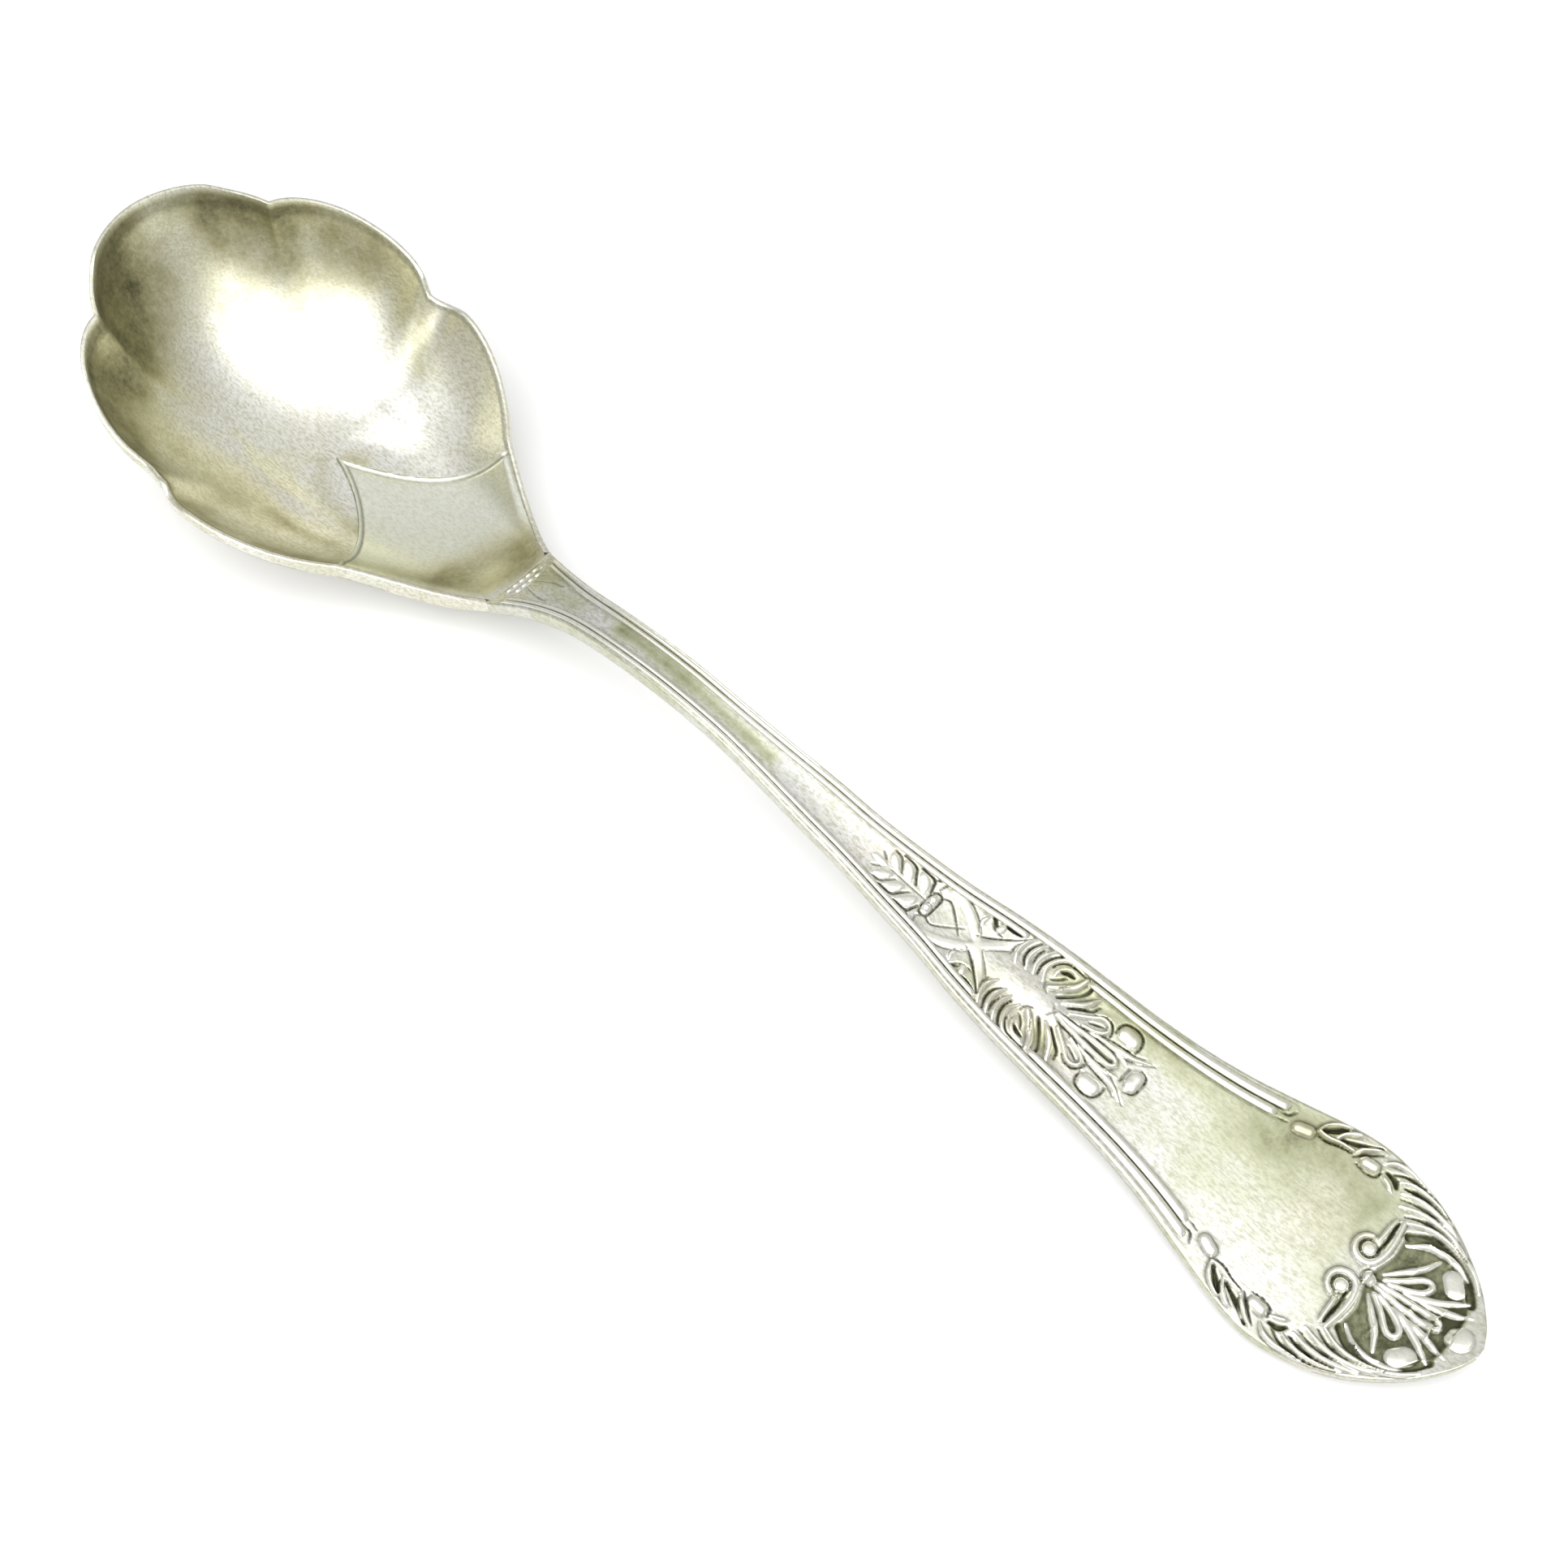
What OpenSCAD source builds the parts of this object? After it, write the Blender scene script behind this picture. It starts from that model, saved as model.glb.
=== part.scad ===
// Sugar spoon with a lobed shell bowl and a struck, ornamented handle.
// The bowl's tip points along -X, the handle's point along +X, and +Z is up.
// The origin is on the table, under the middle of the spoon's length.
// All sizes are in millimetres. Places along the spoon count from the bowl's tip.

/* [Bowl] */
// Length of the bowl from its tip to the throat
bowl_l = 51.7; // [46:0.1:58]
// Widest width of the bowl, across its heel lobes
bowl_w = 34.6; // [31:0.2:39]
// Height of the rim at the bowl's tip, above the table
tip_rim_h = 18.8; // [15:0.2:21]
// Thickness of the bowl's sheet at its floor
sheet_t = 1.15; // [0.9:0.05:1.5]
// Width of the rim's flat land
rim_land = 0.8; // [0.6:0.05:1.1]
// Height of the sheet's edge under the rim's land
rim_edge_t = 0.9; // [0.6:0.05:1.2]
// Thickness of the rim's wings where they run into the handle
heel_edge_t = 1.6; // [1.2:0.05:1.9]
// Depth of the worn flat that the bowl rests on
worn_flat_d = 0.12; // [0.08:0.01:0.2]

/* [Tongue] */
// Distance from the bowl's tip to the tongue's middle point
tongue_cusp_x = 24.3; // [23.5:0.1:27]
// Distance from the bowl's tip to the tongue's outer corners
tongue_corner_x = 39.5; // [38.6:0.1:41]
// Width of the tongue between its outer corners
tongue_w = 19.2; // [17.6:0.1:20]
// Thickness of the tongue's plate
tongue_t = 0.45; // [0.3:0.05:0.6]
// Film of solder between pieces that lie on each other
solder_film = 0.03; // [0.02:0.01:0.05]

/* [Handle] */
// Length of the handle from the throat to its point
handle_l = 101.1; // [96:0.1:106]
// Width of the handle at the throat
throat_w = 7.9; // [7:0.1:9]
// Narrowest width of the stem
stem_w = 4.2; // [4:0.1:5]
// Widest width of the terminal
blade_w = 19.1; // [17.5:0.1:20.5]
// Height of the handle's upper face at the throat
throat_top_h = 6; // [5.4:0.1:6.8]
// Height of the upper face at the top of the arch
arch_top_h = 10.6; // [9.5:0.1:12]
// Height of the upper face at the handle's point
point_top_h = 3.4; // [2.8:0.1:4.2]
// Thickness of the handle at the throat
throat_t = 2.4; // [2:0.05:2.8]
// Thickness of the handle at the terminal
blade_t = 1.55; // [1.3:0.05:1.8]
// Depth of the channel along the stem
channel_d = 0.25; // [0.1:0.05:0.35]
// Depth of the sunk ground round the terminal's palmette
ground_d = 0.3; // [0.15:0.05:0.4]

/* [Threads and beading] */
// Width of one border thread on the stem
thread_w = 0.45; // [0.4:0.01:0.5]
// Width of one border thread at the terminal
thread_end_w = 0.72; // [0.6:0.02:0.8]
// Height of the border threads
thread_h = 0.28; // [0.2:0.02:0.35]
// Gap between two threads
thread_gap = 0.08; // [0.06:0.01:0.12]
// Diameter of one bead at the throat
bead_d = 0.62; // [0.5:0.02:0.66]
// Number of beads in one row
bead_count = 6; // [4:1:6]

/* [Leaf spray] */
// Half width of the spray
spray_half_w = 1.5; // [1.3:0.05:1.55]
// Height of the struck ornament above its ground
relief_h = 0.4; // [0.3:0.02:0.5]
// Diameter of a berry
berry_d = 0.86; // [0.7:0.02:0.9]

/* [Terminal] */
// Diameter of the boss
boss_d = 1.3; // [1.1:0.05:1.4]

/* [Hidden] */
silver = "#c9c7b4";
silver_bright = "#e6e4d6";
length = bowl_l + handle_l;
bowl_half_w = bowl_w / 2;

// Ornament: where each group starts behind the throat, and its length, as shares of the
// handle's length
thread_run_share = 0.797;
thread_run = thread_run_share * handle_l;
spray_shares = [0.4273, 0.0514];
spray_from_throat = spray_shares[0] * handle_l;
spray_l = spray_shares[1] * handle_l;
scroll_shares = [0.4965, 0.2077];
scroll_from_throat = scroll_shares[0] * handle_l;
scroll_l = scroll_shares[1] * handle_l;
edge_shares = [0.8012, 0.1721];
edge_from_throat = edge_shares[0] * handle_l;
edge_l = edge_shares[1] * handle_l;
palmette_shares = [0.911, 0.0811];
boss_from_throat = palmette_shares[0] * handle_l;
palmette_l = palmette_shares[1] * handle_l;
// Half width of the terminal's palmette, as a share of the terminal's width
palmette_half_share = 0.262;
palmette_half_w = palmette_half_share * blade_w;

// Bowl outline: for each lobe, the Bezier points from the tip to the throat,
// as shares of the bowl's length and of its half width
tip_lobe_shares = [[0, 0], [0, 0.254], [0.064, 0.503], [0.135, 0.598]];
side_lobe_shares = [[0.135, 0.598], [0.149, 0.844], [0.311, 1.081], [0.426, 0.948]];
heel_lobe_shares = [[0.426, 0.948], [0.515, 1.075], [0.65, 0.908], [0.754, 0.621]];
flank_shares = [[0.754, 0.621], [0.834, 0.471], [0.923, 0.318], [1, throat_w / bowl_w]];
lobe_steps = [8, 10, 9, 8];
// Height of the rim along the bowl, as shares of the bowl's length and of the tip's height
rim_h_shares = [[0, 1], [0.043, 0.979], [0.074, 0.936], [0.135, 0.878], [0.22, 0.808], [0.296, 0.734],
                [0.356, 0.681], [0.395, 0.644], [0.414, 0.6], [0.426, 0.521], [0.452, 0.493],
                [0.516, 0.511], [0.594, 0.468], [0.671, 0.407], [0.754, 0.354], [0.876, 0.288],
                [0.944, 0.283], [1, throat_top_h / tip_rim_h]];
// Deepest place of the bowl, as a share of its length
floor_share = 0.42;
// Where the round bowl starts to turn into the heel's trough, and where it is one
heel_start_share = 0.5;
heel_full_share = 0.87;
heel_power = 4;
heel_under_power = 3.2;
bowl_rings = 11;
throat_steps = 4;

// Handle: half width along its length, as shares of the half widths that it passes through:
// the throat, the stem and the terminal
width_shares = [[0, 1, 0, 0], [0.038, 0.5, 0.464, 0], [0.075, 0, 1.11, 0], [0.108, 0, 1.02, 0],
                [0.22, 0, 0.99, 0], [0.27, 0, 1, 0], [0.316, 0, 1.105, 0], [0.364, 0, 1.248, 0],
                [0.407, 0, 1.343, 0], [0.453, 0, 1.548, 0], [0.498, 0, 1.786, 0], [0.543, 0, 0, 0.471],
                [0.588, 0, 0, 0.529], [0.632, 0, 0, 0.565], [0.674, 0, 0, 0.597], [0.717, 0, 0, 0.649],
                [0.758, 0, 0, 0.731], [0.799, 0, 0, 0.848], [0.84, 0, 0, 0.965], [0.862, 0, 0, 1],
                [0.88, 0, 0, 0.995], [0.9, 0, 0, 0.951], [0.919, 0, 0, 0.888], [0.938, 0, 0, 0.79],
                [0.957, 0, 0, 0.65], [0.976, 0, 0, 0.471], [0.987, 0, 0, 0.325], [0.995, 0, 0, 0.19],
                [1, 0, 0, 0.058]];
// Height of the upper face along the handle, as shares of the heights that it passes through:
// the throat, the top of the arch, the terminal and the point
height_shares = [[0, 1, 0, 0, 0], [0.038, 0.62, 0.38, 0, 0], [0.075, 0.337, 0.663, 0, 0],
                 [0.108, 0.163, 0.837, 0, 0], [0.14, 0.065, 0.935, 0, 0], [0.18, 0, 1, 0, 0],
                 [0.22, 0, 0.995, 0.005, 0], [0.27, 0, 0.934, 0.066, 0], [0.316, 0, 0.84, 0.16, 0],
                 [0.364, 0, 0.735, 0.265, 0], [0.407, 0, 0.63, 0.37, 0], [0.453, 0, 0.53, 0.47, 0],
                 [0.498, 0, 0.453, 0.547, 0], [0.543, 0, 0.381, 0.619, 0], [0.588, 0, 0.315, 0.685, 0],
                 [0.632, 0, 0.246, 0.754, 0], [0.674, 0, 0.185, 0.815, 0], [0.717, 0, 0.133, 0.867, 0],
                 [0.758, 0, 0.085, 0.915, 0], [0.799, 0, 0.044, 0.956, 0], [0.84, 0, 0.014, 0.986, 0],
                 [0.88, 0, 0, 1, 0], [0.9, 0, 0, 0.995, 0.005], [0.919, 0, 0, 0.93, 0.07],
                 [0.938, 0, 0, 0.8, 0.2], [0.957, 0, 0, 0.622, 0.378], [0.976, 0, 0, 0.38, 0.62],
                 [0.987, 0, 0, 0.216, 0.784], [1, 0, 0, 0, 1]];
handle_stations = 56;
// Crowds the stations towards the rounded point
station_crowding = 1.25;
// Places across the upper face and the underside, as shares of the half width
across_shares = [-1, -0.8, -0.55, -0.28, 0, 0.28, 0.55, 0.8, 1];
under_shares = [0.9, 0.5, 0, -0.5, -0.9];
edge_round = blade_t * 0.16;
belly_share = 0.22;

// Smooth value of a table at x: rows are [x, value], joined by cubics
function slope(t, i) =
    let (a = max(i - 1, 0), b = min(i + 1, len(t) - 1))
    (t[b][1] - t[a][1]) / (t[b][0] - t[a][0]);
function row_of(t, x, i = 0) = i >= len(t) - 2 || x < t[i + 1][0] ? i : row_of(t, x, i + 1);
function table_at(t, x) =
    let (i = row_of(t, x), d = t[i + 1][0] - t[i][0], k = min(max((x - t[i][0]) / d, 0), 1))
    t[i][1] * (2 * k ^ 3 - 3 * k ^ 2 + 1) + slope(t, i) * d * (k ^ 3 - 2 * k ^ 2 + k)
    + t[i + 1][1] * (3 * k ^ 2 - 2 * k ^ 3) + slope(t, i + 1) * d * (k ^ 3 - k ^ 2);
function smooth(k) = let (c = min(max(k, 0), 1)) c * c * (3 - 2 * c);
function mix(a, b, k) = a + (b - a) * k;
function unit(v) = v / norm(v);
function bezier(p, k) =
    p[0] * (1 - k) ^ 3 + p[1] * 3 * k * (1 - k) ^ 2 + p[2] * 3 * k ^ 2 * (1 - k) + p[3] * k ^ 3;
function bend(a, b, c, k) = a * (1 - k) ^ 2 + b * 2 * k * (1 - k) + c * k ^ 2;

// Handle faces
width_table = [for (r = width_shares)
    [r[0] * handle_l, (r[1] * throat_w + r[2] * stem_w + r[3] * blade_w) / 2]];
height_table = [for (r = height_shares)
    [r[0] * handle_l, r[1] * throat_top_h + r[2] * arch_top_h + r[3] * blade_t + r[4] * point_top_h]];
function half_w(u) = table_at(width_table, u - bowl_l);
function thick(u) = mix(throat_t, blade_t, smooth((u - bowl_l) / handle_l * 1.25));
// The underside never drops below the table
function edge_h(u) = max(table_at(height_table, u - bowl_l), thick(u));
// The sunk ground is an oval that reaches from the boss to short of the point
ground_mid = bowl_l + boss_from_throat + palmette_l * 0.5;
function ground(u, y) =
    smooth(2.2 * (1 - norm([(u - ground_mid) / (palmette_l * 0.58), y / (palmette_half_w * 0.95)])));
function channel(u) = channel_d * (1 - smooth((u - bowl_l) / handle_l * 2.2 - 1));
function face_h(u, y) =
    edge_h(u) - channel(u) * (1 - (y / half_w(u)) ^ 2) - ground_d * ground(u, y);
function on_face(u, y, h) = [u - length / 2, y, face_h(u, y) + solder_film + h];

// Bowl outline from the throat's corner round the tip and back
function lobe_points(shares, n) =
    [for (k = [1:n]) let (p = bezier(shares, k / n)) [p[0] * bowl_l, p[1] * bowl_half_w]];
half_rim = concat([[0, 0]], lobe_points(tip_lobe_shares, lobe_steps[0]),
    lobe_points(side_lobe_shares, lobe_steps[1]), lobe_points(heel_lobe_shares, lobe_steps[2]),
    lobe_points(flank_shares, lobe_steps[3]));
half_count = len(half_rim);
rim = concat(
    [for (i = [half_count - 1:-1:1]) [half_rim[i][0], -half_rim[i][1]]],
    half_rim,
    [for (k = [1:throat_steps - 1]) [bowl_l, throat_w * (0.5 - k / throat_steps)]]);
rim_n = len(rim);
floor_x = floor_share * bowl_l;
rim_table = [for (r = rim_h_shares) [r[0] * bowl_l, r[1] * tip_rim_h]];
function heel(x) = smooth((x / bowl_l - heel_start_share) / (heel_full_share - heel_start_share));
function is_throat(i) = rim[i][0] > bowl_l - solder_film;
function rim_top(i) = is_throat(i) ? face_h(bowl_l, rim[i][1]) : table_at(rim_table, rim[i][0]);
function rim_low(i) =
    is_throat(i) ? edge_h(bowl_l) - throat_t + edge_round * (2 * rim[i][1] / throat_w) ^ 2
    : rim_top(i) - mix(rim_edge_t, heel_edge_t, heel(rim[i][0]) ^ 2);
function inward(i) =
    let (a = rim[(i + rim_n - 1) % rim_n], b = rim[(i + 1) % rim_n], d = unit(b - a))
    [d[1], -d[0]];
// A radial profile: a round bowl towards the lobes, a flat trough towards the throat
function profile(k, rise, reach, m, power) =
    let (a = 2 * atan(rise / reach), arc = (1 - sqrt(1 - (k * sin(a)) ^ 2)) / (1 - cos(a)))
    rise * mix(arc, k ^ power, m);
function inner_edge(i) = rim[i] + inward(i) * rim_land;
function inner_point(i, k) =
    let (e = inner_edge(i), d = e - [floor_x, 0],
         z = sheet_t + profile(k, rim_top(i) - sheet_t, norm(d), heel(rim[i][0]), heel_power))
    [floor_x + d[0] * k - length / 2, d[1] * k, z];
function outer_point(i, k) =
    let (d = rim[i] - [floor_x, 0],
         z = profile(k, rim_low(i) + worn_flat_d, norm(d), heel(rim[i][0]), heel_under_power))
    [floor_x + d[0] * k - length / 2, d[1] * k, z - worn_flat_d];

// Faces between rings of n points each, whose first point has index at
function ring_faces(at, n) =
    [for (i = [0:n - 1]) let (j = (i + 1) % n) each
        [[at + i, at + j, at + n + j], [at + i, at + n + j, at + n + i]]];
function fan_faces(centre, at, n) =
    [for (i = [0:n - 1]) let (a = at + i, b = at + (i + 1) % n)
        if (a != centre && b != centre) [centre, a, b]];
function flipped(faces) = [for (f = faces) [f[2], f[1], f[0]]];

module bowl() {
    inner = [for (j = [bowl_rings:-1:1], i = [0:rim_n - 1]) inner_point(i, j / bowl_rings)];
    outer = [for (j = [1:bowl_rings], i = [0:rim_n - 1]) outer_point(i, j / bowl_rings)];
    rings = 2 * bowl_rings;
    points = concat(outer, inner, [outer_point(0, 0), inner_point(0, 0)]);
    faces = concat(
        [for (j = [0:rings - 2]) each ring_faces(j * rim_n, rim_n)],
        flipped(fan_faces(rings * rim_n, 0, rim_n)),
        fan_faces(rings * rim_n + 1, (rings - 1) * rim_n, rim_n));
    color(silver)
        difference() {
            polyhedron(points, faces);
            translate([-length, -bowl_w, -tip_rim_h]) cube([2 * length, 2 * bowl_w, tip_rim_h]);
        }
}

// The tongue lies on the heel, from its three-pointed front edge back to the throat wall
tongue_back_share = 0.95;
tongue_rings = 9;
// Where the hollow of the front edge pulls to, as shares of its run and of the half width
tongue_hollow_shares = [0.67, 0.36];
tongue_hollow = [mix(tongue_cusp_x, tongue_corner_x, tongue_hollow_shares[0]),
                 tongue_w / 2 * tongue_hollow_shares[1]];
function tongue_edge(k) =
    bend([tongue_cusp_x, 0], tongue_hollow, [tongue_corner_x, tongue_w / 2], k) - [floor_x, 0];
function bearing(v) = atan2(abs(v[1]), v[0]);
// Place on the front edge that has a ray's bearing, by halving
function edge_place(a, low = 0, high = 1, n = 14) =
    let (mid = (low + high) / 2)
    n == 0 ? mid
    : bearing(tongue_edge(mid)) < a ? edge_place(a, mid, high, n - 1) : edge_place(a, low, mid, n - 1);
function ray(i) = inner_edge(i) - [floor_x, 0];
function tongue_front(i) = norm(tongue_edge(edge_place(bearing(ray(i))))) / norm(ray(i));
tongue_rays = [for (i = [0:rim_n - 1])
    if (bearing(ray(i)) < bearing(tongue_edge(1)) && tongue_front(i) < tongue_back_share * 0.97) i];
tongue_order = concat([for (i = tongue_rays) if (i >= half_count) i],
                      [for (i = tongue_rays) if (i < half_count) i]);

module bowl_tongue() {
    n = len(tongue_order);
    share = function(c, j) mix(tongue_front(tongue_order[c]), tongue_back_share, j / tongue_rings);
    low = [for (j = [0:tongue_rings], c = [0:n - 1])
        inner_point(tongue_order[c], share(c, j)) + [0, 0, solder_film]];
    high = [for (j = [0:tongue_rings], c = [0:n - 1])
        inner_point(tongue_order[c], share(c, j)) + [0, 0, tongue_t]];
    m = n * (tongue_rings + 1);
    sheet = [for (j = [0:tongue_rings - 1], c = [0:n - 2]) let (a = j * n + c) each
        [[a, a + 1, a + n + 1], [a, a + n + 1, a + n]]];
    edge = concat([for (c = [0:n - 1]) c], [for (j = [1:tongue_rings]) j * n + n - 1],
        [for (c = [n - 2:-1:0]) tongue_rings * n + c], [for (j = [tongue_rings - 1:-1:1]) j * n]);
    wall = [for (k = [0:len(edge) - 1]) let (a = edge[k], b = edge[(k + 1) % len(edge)]) each
        [[a, b, b + m], [a, b + m, a + m]]];
    color(silver_bright)
        polyhedron(concat(low, high), concat(sheet, flipped([for (f = sheet) f + [m, m, m]]), flipped(wall)));
}

module handle() {
    top_n = len(across_shares);
    section = function(u)
        let (w = half_w(u), t = thick(u), top = edge_h(u), low = top - t, r = min(edge_round, w / 3))
        concat(
            [for (a = across_shares) [a * (w - r), face_h(u, a * (w - r))]],
            [[w, top - t / 2]],
            [for (a = under_shares) [a * w, low + t * belly_share * a ^ 4]],
            [[-w, top - t / 2]]);
    sides = top_n + len(under_shares) + 2;
    places = [for (k = [0:handle_stations])
        bowl_l + handle_l * (1 - (1 - k / handle_stations) ^ station_crowding)];
    points = [for (u = places, p = section(u)) [u - length / 2, p[0], p[1]]];
    last = handle_stations * sides;
    keel = sides - 1 - ceil(len(under_shares) / 2);
    color(silver_bright)
        polyhedron(points, concat(
            [for (j = [0:handle_stations - 1]) each ring_faces(j * sides, sides)],
            flipped(fan_faces(keel, 0, sides)),
            fan_faces(last + keel, last, sides)));
}

// A struck ridge on the handle's face along rows of [u, y, half width, height]
module ridge(rows) {
    n = len(rows);
    way = [for (i = [0:n - 1]) let (a = rows[max(i - 1, 0)], b = rows[min(i + 1, n - 1)])
        unit([b[0] - a[0], b[1] - a[1]])];
    points = [for (i = [0:n - 1]) let (r = rows[i], s = [-way[i][1], way[i][0]])
        each [for (c = [[-1, 0], [1, 0], [0.55, 0.8], [-0.55, 0.8]])
            on_face(r[0] + s[0] * r[2] * c[0], r[1] + s[1] * r[2] * c[0], r[3] * c[1])]];
    polyhedron(points, concat(
        flipped([for (j = [0:n - 2]) each ring_faces(j * 4, 4)]),
        [[0, 1, 2], [0, 2, 3]], [for (f = [[2, 1, 0], [3, 2, 0]]) f + [4, 4, 4] * (n - 1)]));
}

// A leaf: a ridge from a to c that bends towards b and swells between fine ends
module leaf(a, b, c, half, h, steps = 6, blunt = 0.3) {
    ridge([for (k = [0:steps])
        let (p = bend(a, b, c, k / steps), s = blunt + (1 - blunt) * sin(180 * k / steps))
        [p[0], p[1], half * s, h * s]]);
}

// An arc round a centre, from angle a0 to a1
module arc_ridge(centre, r, a0, a1, half, h, steps = 12) {
    ridge([for (k = [0:steps]) let (a = mix(a0, a1, k / steps))
        [centre[0] + r * cos(a), centre[1] + r * sin(a), half, h]]);
}

// A low oval dome
module dome(centre, ra, rb, h, turn = 0, sides = 12) {
    levels = [[1, 0], [0.86, 0.5], [0.5, 0.87]];
    points = [for (l = levels, k = [0:sides - 1]) let (a = 360 * k / sides,
        x = ra * l[0] * cos(a), y = rb * l[0] * sin(a))
        on_face(centre[0] + x * cos(turn) - y * sin(turn),
            centre[1] + x * sin(turn) + y * cos(turn), h * l[1])];
    last = len(levels) * sides;
    polyhedron(concat(points, [on_face(centre[0], centre[1], h), on_face(centre[0], centre[1], 0)]), concat(
        [for (j = [0:len(levels) - 2]) each flipped(ring_faces(j * sides, sides))],
        flipped(fan_faces(last, last - sides, sides)), fan_faces(last + 1, 0, sides)));
}

module both_sides() {
    children();
    mirror([0, 1, 0]) children();
}

// Two short rows of beads across the throat
module neck_beading() {
    pitch = (bead_d + solder_film) * 1.02;
    color(silver_bright)
        for (row = [0:1], k = [0:bead_count - 1])
            dome([bowl_l + bead_d * 0.8 + row * pitch, pitch * (k - (bead_count - 1) / 2)],
                bead_d / 2, bead_d / 2, bead_d / 2, 0, 8);
}

// A pair of threads along each edge. The inner one gives way to the scrolls in the middle of
// the handle, and ends first.
thread_stations = 40;
thread_inset = thread_w * 0.58;
thread_start = bead_d * 4;
scroll_gap_shares = [0.3, 0.575];
function thread_at(u) = mix(thread_w, thread_end_w, smooth((u - bowl_l) / handle_l * 1.3 - 0.35));
function lane(u, n) = half_w(u) - thread_inset - thread_at(u) / 2 - n * (thread_at(u) + thread_gap);
module thread_run_of(start, end, n, stations) {
    ridge([for (k = [0:stations]) let (u = mix(start, end, k / stations))
        [u, lane(u, n), thread_at(u) / 2, thread_h]]);
}
module border_threads() {
    start = bowl_l + thread_start;
    end = bowl_l + thread_run;
    gap = [for (g = scroll_gap_shares) bowl_l + scroll_from_throat + g * scroll_l];
    color(silver_bright)
        both_sides() {
            thread_run_of(start, end, 0, thread_stations);
            thread_run_of(start, gap[0], 1, thread_stations * 0.7);
            thread_run_of(gap[1], end - thread_end_w, 1, thread_stations * 0.3);
        }
}

// Leaves in pairs on a stem, pointing to the bowl, and two berries behind them
leaf_pairs = 4;
module leaf_spray() {
    start = bowl_l + spray_from_throat;
    pitch = spray_l / (leaf_pairs + 0.2);
    color(silver_bright) {
        leaf([start - pitch * 0.4, 0], [start, 0], [start + pitch * 0.75, 0], pitch * 0.2, relief_h);
        both_sides() {
            for (k = [1:leaf_pairs])
                leaf([start + pitch * (k + 0.15), pitch * 0.22],
                    [start + pitch * (k - 0.25), spray_half_w * 0.5],
                    [start + pitch * (k - 0.9), spray_half_w - pitch * 0.1], pitch * 0.26, relief_h);
            dome([start + spray_l + berry_d * 0.72, (berry_d + solder_film * 2) / 2],
                berry_d / 2, berry_d / 2, relief_h);
        }
    }
}

// Crossing ribbons, leaf fans, scrolls, petals and ovals in the middle of the handle.
// Every place is a share of the ornament's length and half width.
flute_at = bowl_l + scroll_from_throat + 0.335 * scroll_l;
scroll_half_w = lane(flute_at, 0) - thread_at(flute_at) / 2 - thread_gap;
ribbon_half_share = 0.1;
fan_shares = [[[0.15, 0.5], [0.15, 0.66], [0.175, 0.8]], [[0.19, 0.46], [0.2, 0.64], [0.235, 0.8]],
              [[0.24, 0.56], [0.26, 0.7], [0.3, 0.8]]];
flute_shares = [0.335, 0.375, 0.415];
petal_shares = [[[0.6, 0.13], [0.68, 0.26], [0.745, 0.46]], [[0.6, 0.32], [0.64, 0.46], [0.675, 0.72]]];
fork_shares = [[0.6, 0.03], [0.75, 0.1], [0.9, 0.4]];
module scroll_palmette() {
    start = bowl_l + scroll_from_throat;
    at = function(p) [start + p[0] * scroll_l, p[1] * scroll_half_w];
    fine = scroll_half_w * ribbon_half_share;
    eye = at([0.51, 0.7]);
    color(silver_bright) {
        for (s = [-1, 1])
            leaf(at([0, -0.58 * s]), at([0.09, -0.25 * s]), at([0.155, -0.13 * s]),
                fine, relief_h * 0.7, 5, 0.8);
        for (s = [-1, 1])
            leaf(at([0.2, 0.13 * s]), at([0.26, 0.3 * s]), at([0.32, 0.76 * s]),
                fine, relief_h * 0.7, 5, 0.8);
        dome(at([0.178, 0]), scroll_l * 0.022, scroll_half_w * 0.09, relief_h);
        leaf(at([0.24, 0]), at([0.4, 0]), at([0.55, 0]), scroll_half_w * 0.24, relief_h, 8, 0.15);
        leaf(at([0.58, 0]), at([0.7, 0]), at([0.86, 0]), fine * 0.8, relief_h, 8, 0.4);
        dome(at([0.96, 0]), scroll_l * 0.034, scroll_half_w * 0.24, relief_h);
        both_sides() {
            for (f = fan_shares)
                leaf(at(f[0]), at(f[1]), at(f[2]), fine * 0.75, relief_h * 0.8, 5);
            for (f = flute_shares)
                leaf(at([f, 0.34]), at([f - 0.035, 0.62]), at([f, 0.94]), fine * 0.85, relief_h, 7, 0.35);
            arc_ridge(eye, scroll_half_w * 0.3, -150, 100, fine * 0.7, relief_h, 16);
            dome(eye, scroll_half_w * 0.14, scroll_half_w * 0.14, relief_h);
            for (p = petal_shares)
                leaf(at(p[0]), at(p[1]), at(p[2]), fine * 0.85, relief_h, 6, 0.45);
            leaf(at(fork_shares[0] + [0.03, 0.1]), at(fork_shares[1] + [0, 0.06]), at(fork_shares[2]),
                fine * 0.6, relief_h * 0.8, 7, 0.3);
            dome(at([0.842, 0.68]), scroll_l * 0.04, scroll_half_w * 0.21, relief_h, 10);
        }
    }
}

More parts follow.
